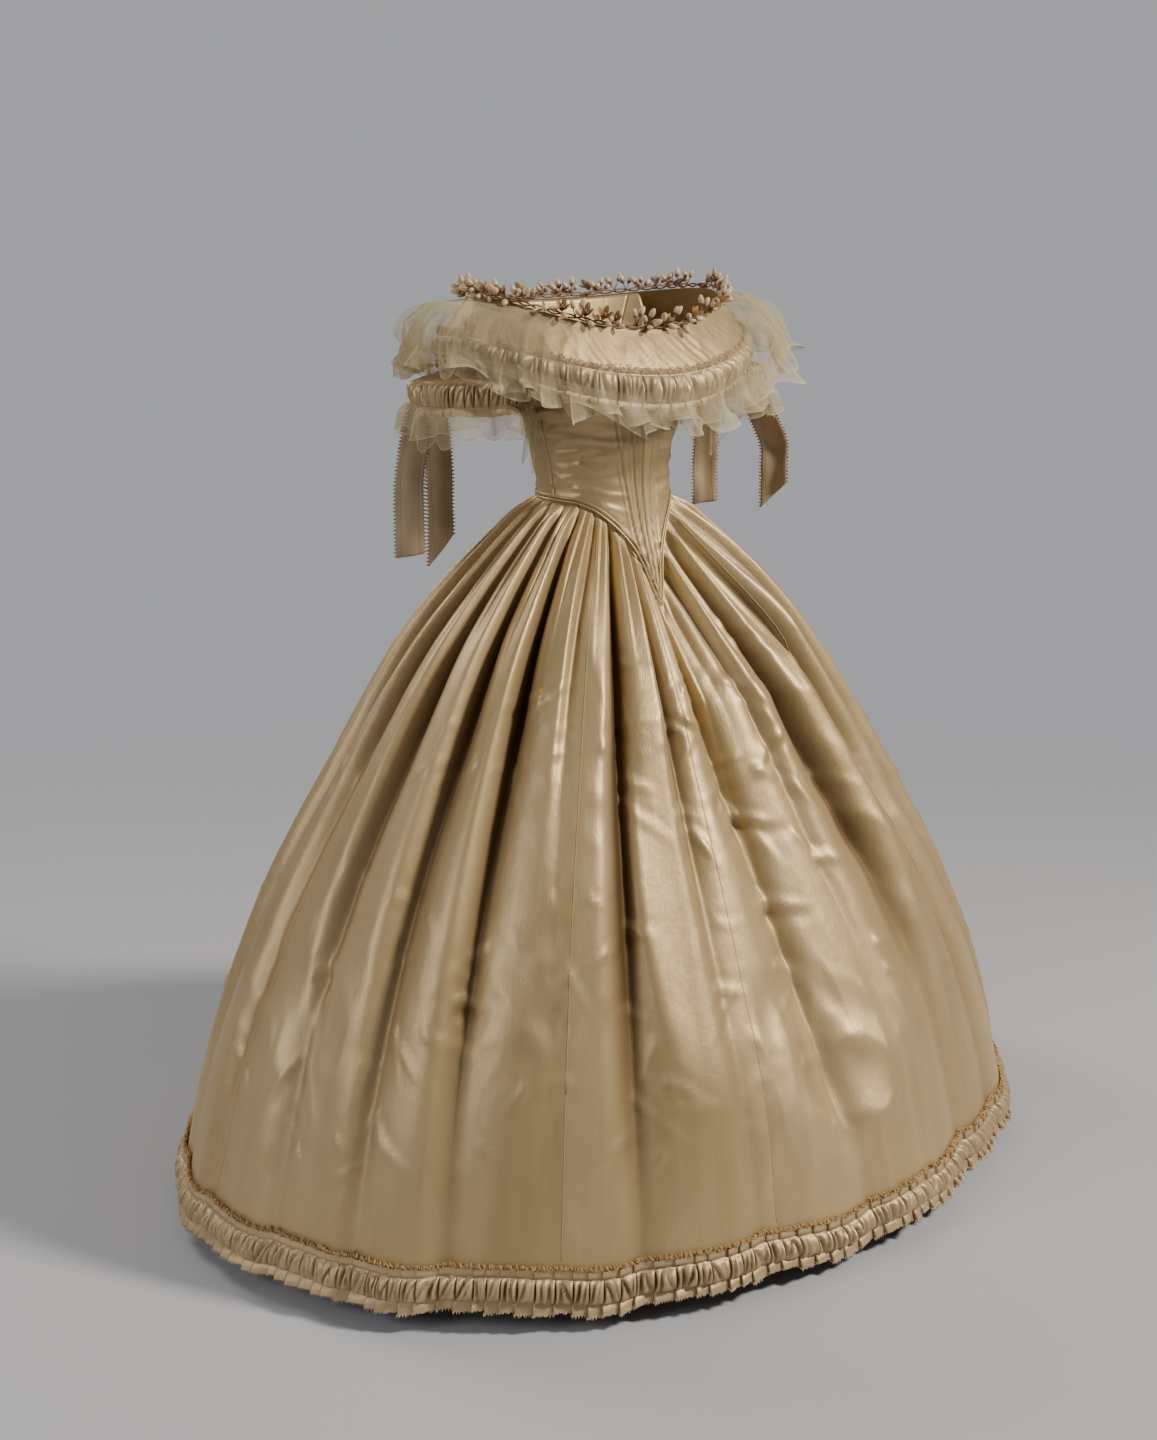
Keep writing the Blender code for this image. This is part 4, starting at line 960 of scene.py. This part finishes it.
# bertha: satin over the shoulders, ruched ribbon, net over both
def loft(psi, v, names):
    psi, v = np.broadcast_arrays(np.asarray(psi, float), np.asarray(v, float))
    x = np.clip(v, -0.05, 1.08) * (len(names) - 1)
    k = np.clip(np.floor(x).astype(int), 0, len(names) - 2)
    t = (x - k)[..., None]
    rings = np.stack([shoulder(psi, name) for name in names])
    pick = np.arange(len(names)).reshape((-1,) + (1,) * psi.ndim)
    chosen = [pick == np.clip(k + s, 0, len(names) - 1) for s in (-1, 0, 1, 2)]
    row = [np.sum(rings * c[..., None], axis=0) for c in chosen]
    before = np.where((k == 0)[..., None], 2 * row[1] - row[2], row[0])
    after = np.where((k == len(names) - 2)[..., None], 2 * row[2] - row[1], row[3])
    return 0.5 * (2 * row[1] + (row[2] - before) * t + (2 * before - 5 * row[1] + 4 * row[2] - after) * t ** 2
                  + (3 * row[1] - before - 3 * row[2] + after) * t ** 3)


def moved(at, out):
    return at + outwardOf(at) * np.asarray(out)[..., None]


quarters = [("Front", -45, 45), ("Left", 45, 135), ("Back", 135, 225), ("Right", 225, 315)]
berthaBand = dict(units=64, head=0.12, foot=0.84, tabOut=0.0036, puffOut=0.0135, overlap=0.18, offset=0.002,
                  top=0.59, low=1.055, shade=1.0, dent=2.3, seed=41,
                  loop=dict(width=0.0046, height=0.0054, thick=0.0008))
berthaRings = ["neck", "drape", "bandTop", "bandFoot"]


def berthaCloth(psi, v):
    at = loft(psi, v, berthaRings)
    crisp = 0.45 - np.abs(crumple(at, 51, 0.055, (1, 1, 0.45)))
    fine = 0.5 - np.abs(unevenWave(psi - 20 * v, 52, 18, 60))
    free = ease(v, 0.02, 0.2) * (1 - ease(v, 0.5, 0.62))
    wave = unevenWave(psi, 54, 4, 11)
    return moved(at, -0.0006 + (0.0015 * crisp + 0.0009 * fine + 0.0018 * wave) * free)


def onBand(psi, v, out):
    b = berthaBand
    return moved(loft(psi, b["top"] + (b["low"] - b["top"]) * v, berthaRings), b["offset"] + out)


def sewBertha():
    b = berthaBand
    psi, v = crossed(around(600), np.linspace(0, 1, 34))
    layCloth("bertha", berthaCloth(psi, v), mutedSatin,
             ["bertha_" + q[0].lower() for q in quarters], closed=True)
    grid, marks = ruchedGrid(onBand, (-180, 180), b)
    layCloth("berthaRuching", grid, ribbonSatin,
             ["bertha_ruching_" + q[0].lower() for q in quarters], closed=True, marks=marks)
    psi = around(720)
    loop = curlMesh(**b["loop"])
    for end, level, rise, side, seed in (("Top", 0.04, 0.0046, 1.0, 6), ("Foot", 0.95, 0.0034, -1.0, 7)):
        line = onBand(psi, np.full(psi.shape, level), 0.0036 * (0.7 + 0.3 * unevenWave(psi, seed, 60, 110)))
        edgeLoops("berthaEdging" + end, line, 0.0034, loop, goldThread, (0.6, 1.15, seed), 0.5, 3, rise, side)


# net gathered into folds that deepen towards the free edge and lean over themselves
def gatherNet(place, turns, cut, rows, closed=False):
    steps = np.arange(12) / 12
    p, v, edge, pitch, each = unevenUnits(turns, cut["folds"], (0.45, 1.7), steps, np.linspace(0, 1, rows),
                                          cut["seed"], closed)
    drift = each(-0.16, 0.16) * v * np.sin(np.pi * p)
    crest = (1 - np.abs(2 * np.clip(p + drift, 0, 1) - 1)) ** 0.8
    tall, sway, dip = each(0.35, 1.35), each(-0.42, 0.42), each(-1.0, 1.0)
    twice = np.sin(2 * np.pi * p)
    second = each(-0.3, 0.3) * twice * ease(v, 0.3, 1.0)
    turn = edge + pitch * (p + sway * twice * ease(v, 0.1, 0.9) * 0.55)
    fold = crest * tall - 0.42 + second * 0.5
    fall = dip * np.sin(np.pi * p) + 0.25 * twice * each(-1, 1)
    lines = 0.3 * hump((p + drift - 0.5) / 0.045) + 0.22 * hump(np.minimum(p, 1 - p) / 0.045)
    cover = cut["cover"] * (0.8 + 0.25 * crest) + lines * ease(v, 0.05, 0.4) + 0.32 * hump((1 - v) / 0.035)
    return place(turn, v, fold, fall), np.clip(cover, 0, 0.95), turn, v


netCut = dict(puff=0.017, sway=0.03, dip=0.02, crush=0.006,
              Front=dict(folds=10, seed=61, cover=0.25), Left=dict(folds=9, seed=62, cover=0.3),
              Back=dict(folds=10, seed=63, cover=0.25), Right=dict(folds=9, seed=64, cover=0.3))
netRings = ["netNeck", "netPuff", "netSide", "netBand", "netEdge"]


def netOver(psi, v, fold, fall):
    at = loft(psi, v, netRings)
    side = np.sin(np.radians(psi)) ** 2
    out = (0.25 + 0.75 * side) * netCut["puff"] * fold * ease(v, 0.03, 0.5)
    out = out + netCut["sway"] * fold * ease(v, 0.55, 1.0) - 0.007 * (1 - side) * ease(v, 0.1, 0.4)
    loose = ease(v, 0.05, 0.3) * (0.3 + 0.7 * np.maximum(side, ease(v, 0.6, 1.0)))
    sharp = 1 - 1.6 * np.abs(crumple(at, 65, 0.07))        # crossing folds, crisp along their crests
    out = out + netCut["crush"] * sharp * loose + 0.001
    at = moved(at, out)
    at[..., 2] += side * 0.005 * crumple(at, 66, 0.08) * loose
    at[..., 2] -= netCut["dip"] * fall * ease(v, 0.7, 1.0)
    return at


frillCut = dict(folds=24, seed=71, cover=0.25, sway=0.026, dip=0.018)


def netFrill(psi, v, fold, fall):  # a second, shorter fall of net from the ruched ribbon
    at = moved(loft(psi, 0.66 + 0.36 * v, netRings), -0.012 + frillCut["sway"] * fold * ease(v, 0.1, 1.0))
    at[..., 2] -= frillCut["dip"] * fall * ease(v, 0.4, 1.0) + 0.004 * v
    return at


puffCut = dict(folds=8, seed=76, sway=0.016, cover=0.26)


def shoulderPuff(psi, v, fold, fall):  # a turned-back puff of net on each shoulder, over the first
    at = loft(psi, 0.16 + 0.62 * v, netRings)
    middle = np.sin(np.pi * np.clip(v, 0, 1)) ** 0.7
    ends = hump((np.abs(turnWithin(psi)) - 92) / 36)
    out = 0.004 + ends * (0.016 * middle + puffCut["sway"] * fold * (0.3 + 0.7 * middle))
    return moved(at, out + 0.006 * (0.6 - np.abs(crumple(at, 77, 0.07))) * ends)


def sewNet():
    for label, start, end in quarters:
        grid, cover, psi, v = gatherNet(netOver, (start, end), netCut[label], 34)
        front = np.cos(np.radians(psi)) ** 2
        cover = cover * (1 - front * 0.5 * ease(v, 0.02, 0.12) * (1 - ease(v, 0.66, 0.8)))
        layCloth("netDrape" + label, grid, silkNet, marks={"cover": cover})
    grid, cover, _, _ = gatherNet(netFrill, (-180, 180), frillCut, 14, True)
    layCloth("netFrill", grid, silkNet, [], closed=True,
             marks={"cover": cover})
    for label, start, end in (("Left", 40, 144), ("Right", -144, -40)):
        grid, cover, psi, _ = gatherNet(shoulderPuff, (start, end), puffCut, 24)
        cover = cover * hump((np.abs(turnWithin(psi)) - 92) / 44)
        layCloth("shoulderPuff" + label, grid, silkNet, [],
                 marks={"cover": cover})


sewBertha()
sewNet()
print("bertha and net laid")


# sleeves
sleeveRings = [  # share down, centre x, y, z, x radius, y radius, rise of the outer side
    (0.00, 0.2079, 0.014, 0.214, 0.0543, 0.05, 0.024), (0.3, 0.2105, 0.018, 0.1925, 0.0535, 0.06, 0.006),
    (0.55, 0.24, 0.02, 0.18, 0.078, 0.078, 0.0), (1.00, 0.241, 0.02, 0.148, 0.076, 0.076, 0.0)]
sleeveBand = dict(top=0.34, bottom=0.98, fall=0.014, offset=0.0024, units=30, head=0.14, foot=0.84,
                  tabOut=0.003, puffOut=0.01, overlap=0.18, shade=0.9, dent=1.6, seed=81, loopPitch=0.0032,
                  edgingOut=0.0036, loop=dict(width=0.004, height=0.0046, thick=0.00055))
sleeveFrill = [  # share down, height, radius, wave
    (0.0, 0.15, 0.079, 0.001), (0.4, 0.14, 0.098, 0.012), (1.0, 0.108, 0.108, 0.02)]
frillTail = dict(phi=222, width=20, drop=0.054, inward=0.018)  # the frill hangs lowest beside the bodice
frillLayers = [("sleeveFrill", dict(folds=9, seed=85, cover=0.2), 0.0, 1.0),
               ("sleeveFrillUnder", dict(folds=11, seed=95, cover=0.2), 0.008, 0.84)]
armCentre = (0.241, 0.02)


def sleevePoint(phi, v, sign, out=0.0):
    x, y, z, rx, ry, rise = curves(v, sleeveRings, *range(1, 7))
    c, s = cosSin(phi)
    return np.stack(np.broadcast_arrays(sign * (x + (rx + out) * c), y + (ry + out) * s, z + rise * c), -1)


def sewSleeves():
    s = sleeveBand
    for side, sign in (("Left", 1.0), ("Right", -1.0)):
        centre = (sign * armCentre[0], armCentre[1])
        phi, v = crossed(np.arange(120) * 3.0, np.linspace(0, 1, 24))
        folds = 0.0014 * unevenWave(phi, 82, 8, 20) * ease(v, 0.05, 0.4) * (1 - ease(v, 0.45, 0.55))
        grid = sleevePoint(phi, v, sign, folds - 0.0004)
        layCloth("sleeve" + side, grid, bodiceSatin,
                 wall=bodiceCut["wall"], closed=True, centre=centre)

        def onSleeve(turn, share, out):
            at = sleevePoint(turn, s["top"] + (s["bottom"] - s["top"]) * share, sign, s["offset"] + out)
            at[..., 2] -= s["fall"] * np.clip(share, 0, 1)
            return at

        grid, marks = ruchedGrid(onSleeve, (0, 360), s)
        layCloth("sleeveRuching" + side, grid, ribbonSatin,
                 closed=True, centre=centre, marks=marks)
        loop, turns = curlMesh(**s["loop"]), np.arange(240) * 1.5
        for end, level, up in (("Top", 0.0, 1.0), ("Foot", 0.98, -1.0)):
            line = onSleeve(turns, np.full(turns.shape, level), s["edgingOut"])
            edgeLoops("sleeveEdging" + end + side, line, s["loopPitch"], loop, goldThread, (0.6, 1.15, 9),
                      0.5, side=up, centre=centre)

        for layer, cut, inward, short in frillLayers:
            def frill(phi, v, fold, fall):
                z, r, deep = curves(v, sleeveFrill, 1, 2, 3)
                tail = hump(turnWithin(phi - frillTail["phi"]) / frillTail["width"]) * ease(v, 0.2, 1.0)
                reach = r - inward * v + deep * fold * (1 - 0.4 * tail) - frillTail["inward"] * tail
                c, sn = cosSin(phi)
                drop = (z - sleeveFrill[0][1]) * (short - 1) + 1.1 * deep * fall
                drop = drop + frillTail["drop"] * tail * short
                return np.stack([sign * (armCentre[0] + reach * c), armCentre[1] + reach * sn, z - drop], -1)

            grid, cover, _, _ = gatherNet(frill, (0, 360), cut, 22, True)
            layCloth(layer + side, grid, silkNet,
                     [] if inward else None, closed=True, centre=centre, marks={"cover": cover})


sewSleeves()
print("sleeves sewn")


# ribbon streamers
streamers = [  # name, x and y at the top, at the end, turn at the top, at the end, length, width
    ("OuterRight", 0.058, 0.0474, 0.067, 0.058, -51, 34, 0.224, 0.042),
    ("BackRight", 0.004, 0.0749, -0.008, 0.084, -3, 24, 0.228, 0.038),
    ("BackLeft", 0.0483, 0.0574, 0.058, 0.074, 140, 158, 0.2, 0.04),
    ("OuterLeft", 0.069, -0.0292, 0.107, -0.04, 67, 128, 0.18, 0.042)]
streamerTop, streamerPicots = 0.1476, 0.0055


def hangStreamers():
    for k, (label, x0, y0, x1, y1, turn0, turn1, long, wide) in enumerate(streamers):
        name, sign = "streamer" + label, 1.0 if "Left" in label else -1.0

        def ribbon(u, v):
            u, v = np.broadcast_arrays(np.asarray(u, float), np.asarray(v, float))
            lean = ease(v, 0.05, 0.6)
            turn = np.radians(turn0 + (turn1 - turn0) * (0.55 + 0.45 * ease(v, 0.02, 0.3)))
            across = u * wide * (1 - 0.2 * (1 - ease(v, 0.0, 0.3)))
            x = armCentre[0] + x0 + (x1 - x0) * lean + across * np.cos(turn)
            y = armCentre[1] + y0 + (y1 - y0) * lean + across * np.sin(turn)
            cup = 0.0022 * np.cos(2 * u * np.pi) * ease(v, 0.1, 0.4)
            cup = cup + 0.0016 * np.sin(2 * np.pi * (v * 2.3 + 0.3 * k + 0.4 * u)) * ease(v, 0.2, 0.6)
            x, y = x + cup * np.sin(turn), y - cup * np.cos(turn)
            slant = v * long * (1 + 0.12 * u) + 0.02 * (u + 0.5 if k % 2 else 0.5 - u) * ease(v, 0.8, 1.0)
            return np.stack([sign * x, y, streamerTop - slant + 0.008 * ease(v, 0.8, 1.0)], -1)

        u, v = crossed(np.linspace(-0.5, 0.5, 15), np.linspace(0, 1, 60))
        grid = ribbon(u, v)
        layCloth(name, grid, streamerSilk,
                 wall=0.0006, centre=(sign * armCentre[0], armCentre[1]))
        spots, turns = [], []
        for edge, inner in ((0, 1), (-1, -2)):
            points, ahead = evenPoints(grid[edge], streamerPicots, False)
            beyond, _ = evenPoints(2 * grid[edge] - grid[inner], streamerPicots, False)
            count = min(len(points), len(beyond))
            points, ahead = points[:count], ahead[:count]
            out = beyond[:count] - points
            out -= ahead * np.sum(out * ahead, axis=1, keepdims=True)
            spots.append(points)
            turns.append(frames(out, np.cross(ahead, out)))
        dressPiece(setAlong(name + "Picots", np.concatenate(spots), np.concatenate(turns), toothMesh(0.0006),
                            brownThread, (0.9, 1.1, 10 + k)))


hangStreamers()
print("streamers hung")


# wax orange blossom round the neckline
garland = dict(rise=0.0052, stem=0.0014, stalk=0.0009, twist=0.0024, windings=26, clusters=54, reach=1.25,
               flowerOut=0.008, seed=91)
clusterKinds = {  # how often, then each bud's share up, outward and along, and its reach
    "pair": (0.22, [(1.0, 0.25, -0.35, 0.013), (1.0, 0.35, 0.4, 0.012)]),
    "bunch": (0.34, [(0.7, 0.7, -0.7, 0.009), (0.9, 0.5, 0.1, 0.011), (0.3, 1.0, 0.6, 0.009),
                     (0.1, 1.0, -0.2, 0.008), (0.8, 0.3, 0.9, 0.009)]),
    "flower": (0.32, [(-0.2, 1.0, 0.8, 0.007), (0.6, 0.6, -0.9, 0.009)]),
    "low": (0.12, [(-0.4, 1.0, -0.4, 0.009), (-0.2, 1.0, 0.5, 0.011)])}
# radius, height and age up a bud, a calyx and a flower's heart
budProfile = [(0, -0.001, 0.9), (0.0022, 0.0004, 0.55), (0.0036, 0.0034, 0.0), (0.0037, 0.0066, 0.0),
              (0.0029, 0.01, 0.0), (0.0014, 0.0122, 0.1), (0, 0.013, 0.25)]
calyxProfile = [(0, -0.0024, 0.0), (0.001, -0.002, 0.0), (0.003, 0.0006, 0.0), (0.0034, 0.002, 0.0),
                (0, 0.0012, 0.0)]
heartProfile = [(0, 0.0, 1), (0.0016, 0.0015, 1), (0.0022, 0.005, 0.9), (0.0014, 0.0078, 0.8),
                (0, 0.0086, 0.7)]


def turned(profile, sides):  # turned about Z and closed at both ends
    (_, low, firstAge), *rings, (_, high, lastAge) = profile
    verts, ages = [(0, 0, low)], [firstAge]
    for r, z, age in rings:
        for k in range(sides):
            a = 2 * np.pi * k / sides
            verts.append((r * np.cos(a), r * np.sin(a), z))
            ages.append(age)
    verts.append((0, 0, high))
    ages.append(lastAge)
    faces, last, top = [], len(verts) - 1, 1 + (len(rings) - 1) * sides
    for k in range(sides):
        m = (k + 1) % sides
        faces += [(0, 1 + m, 1 + k), (last, top + k, top + m)]
        for row in range(1, top, sides):
            faces.append((row + k, row + m, row + sides + m, row + sides + k))
    return verts, faces, ages


def petals():  # a half-open flower: five curled petals round a brown centre
    verts, faces, ages = [], [], []
    for k in range(5):
        start = len(verts)
        for t in np.linspace(0, 1, 6):
            for s in np.linspace(-1, 1, 5):
                a = 2 * np.pi * k / 5 + s * 0.62 * np.sin(np.pi * (0.18 + 0.72 * t)) ** 0.8
                r = 0.0012 + 0.0052 * np.sin(np.pi * 0.5 * t) ** 0.8 + 0.0016 * t ** 3 - 0.0006 * s * s
                verts.append((r * np.cos(a), r * np.sin(a), 0.0105 * t ** 0.9 - 0.0016 * s * s * t))
                ages.append(float(np.clip(0.75 * (1 - t) + 0.65 * ease(t, 0.86, 1.0) + 0.2 * s * s, 0, 1)))
        for a in (start + i * 5 + j for i in range(5) for j in range(4)):
            faces.append((a, a + 1, a + 6, a + 5))
    heart, heartFaces, heartAges = turned(heartProfile, 6)
    base = len(verts)
    return verts + heart, faces + [tuple(base + c for c in f) for f in heartFaces], ages + heartAges


def windGarland():
    g = garland
    pick = np.random.default_rng(g["seed"])
    psi = around(720)

    def rail(turn, up=0.0, out=0.0):
        at = shoulder(turn, "neck", 0.001 + out)
        at[..., 2] += g["rise"] + up
        return at

    stems = []
    for k in range(2):
        c, s = cosSin(psi * g["windings"] + 180 * k)
        line = rail(psi, g["twist"] * s - 0.001, g["twist"] * c + 0.001)
        stems.append(sweepTube("stem", line, g["stem"], 6, stemWax, True))
    tips, ways, stalks = {"bud": [], "flower": []}, {"bud": [], "flower": []}, []
    step = 360 / g["clusters"]
    for k in range(g["clusters"]):
        turn = -180 + (k + pick.uniform(0.15, 0.85)) * step
        kind = pick.choice([*clusterKinds], p=[often for often, _ in clusterKinds.values()])
        root = rail(turn)
        outward, ahead = unit(root * [1, 1, 0]), unit(rail(turn + 1) - rail(turn - 1))
        up = np.cross(outward, ahead)
        up *= np.sign(up[2])

        def grow(what, way, reach):
            tips[what].append(root + way * reach)
            ways[what].append(way)
            stalks.append((root, tips[what][-1]))

        for high, far, side, reach in clusterKinds[kind][1]:
            way = unit(up * high + outward * far + ahead * side + pick.normal(size=3) * 0.16)
            grow("bud", way, reach * g["reach"] * pick.uniform(0.75, 1.15))
        if kind == "flower":
            grow("flower", unit(up * 0.8 + outward * 0.75 + ahead * pick.uniform(-0.5, 0.5)), g["flowerOut"])

    def scatter(name, kinds, shape, finish, sizes, nodes=()):
        spots, out = (np.concatenate([np.array(table[kind]) for kind in kinds]) for table in (tips, ways))
        turns = frames(out, [0.3, 0.2, 1.0])
        dressPiece(setAlong(name, spots, turns, shape, finish, sizes), nodes)

    bud = shapeMesh("bud", *turned(budProfile, 9))
    calyx = shapeMesh("calyx", *turned(calyxProfile, 7))
    flower = shapeMesh("flower", *petals())
    scatter("garlandBuds", ["bud"], bud, budWax, (0.9, 1.32, 12), ["garland_%d" % (k + 1) for k in range(6)])
    scatter("garlandFlowers", ["flower"], flower, petalWax, (1.0, 1.55, 13))
    scatter("garlandCalyxes", ["bud", "flower"], calyx, stemWax, (0.95, 1.3, 12))
    t = np.linspace(0, 1, 4)[:, None]
    for root, tip in stalks:
        bend = (root + tip) / 2 + pick.normal(size=3) * 0.001
        line = root * (1 - t) ** 2 + bend * 2 * t * (1 - t) + tip * t ** 2
        stems.append(sweepTube("stalk", line, g["stalk"], 5, stemWax))
    dressPiece(joinPieces(stems, "garlandStems"))


windGarland()
print("garland wound")

for shape in shapes:
    bpy.data.objects.remove(shape, do_unlink=True)


# floor and light
room = dict(floor=-1.067, radius=4.6, pale=(0.5, 0.5, 0.51), darker=0.97, fadeFrom=1.1, fadeTo=3.4,
            world=(0.62, 0.63, 0.66, 1), worldStrength=0.24, page=(0.4, 0.405, 0.42, 1))
lights = [  # name, place, what it faces, size, power, colour
    ("key", (2.3, -3.5, 2.9), (0.0, 0.0, -0.4), 0.75, 330, (1.0, 0.955, 0.89)),
    ("fill", (-3.4, -0.1, 0.7), (0.0, 0.0, -0.4), 1.6, 34, (0.97, 0.98, 1.0)),
    ("rim", (-1.0, 3.4, 2.2), (0.0, 0.0, -0.3), 1.8, 70, (1.0, 0.98, 0.95))]


def addRoom(r):
    turns = np.linspace(0, 2 * np.pi, 97)[:-1]
    mesh = bpy.data.meshes.new("floor")
    mesh.from_pydata([(r["radius"] * np.cos(t), r["radius"] * np.sin(t), r["floor"]) for t in turns], [],
                     [tuple(range(len(turns)))])
    floor = linked("floor", mesh)
    f = Finish("floorPaint")
    cloudy = f.noise(f.place(0.8))
    away = f.node("ShaderNodeVectorMath", {"operation": "LENGTH"}, {0: f.place(1.0, 1.0, 0.0)}, 1)
    shown = f.ramp(away, r["fadeFrom"], r["fadeTo"], 1.0, 0.0, "SMOOTHERSTEP")
    colour = f.between(cloudy, tuple(r["darker"] * c for c in r["pale"]), r["pale"])
    mesh.materials.append(f.surface(Base_Color=colour, Roughness=0.75, Alpha=shown))
    world = bpy.data.worlds.new("studio")
    world.use_nodes = True
    nodes, link = world.node_tree.nodes, world.node_tree.links.new
    nodes.clear()
    lit, page, seen, mix, end = (nodes.new("ShaderNode" + kind) for kind in (
        "Background", "Background", "LightPath", "MixShader", "OutputWorld"))
    lit.inputs["Color"].default_value, lit.inputs["Strength"].default_value = r["world"], r["worldStrength"]
    page.inputs["Color"].default_value = r["page"]      # the plain ground that shows behind the dress
    link(seen.outputs["Is Camera Ray"], mix.inputs[0])
    link(lit.outputs[0], mix.inputs[1])
    link(page.outputs[0], mix.inputs[2])
    link(mix.outputs[0], end.inputs["Surface"])
    bpy.context.scene.world = world


def addLight(name, at, towards, size, power, colour):
    lamp = bpy.data.lights.new(name, "AREA")
    lamp.shape, lamp.size, lamp.energy, lamp.color = "DISK", size, power, colour
    light = linked(name, lamp)
    light.location = at
    aim(light, Vector(towards) - Vector(at))


addRoom(room)
for row in lights:
    addLight(*row)
print("room lit")
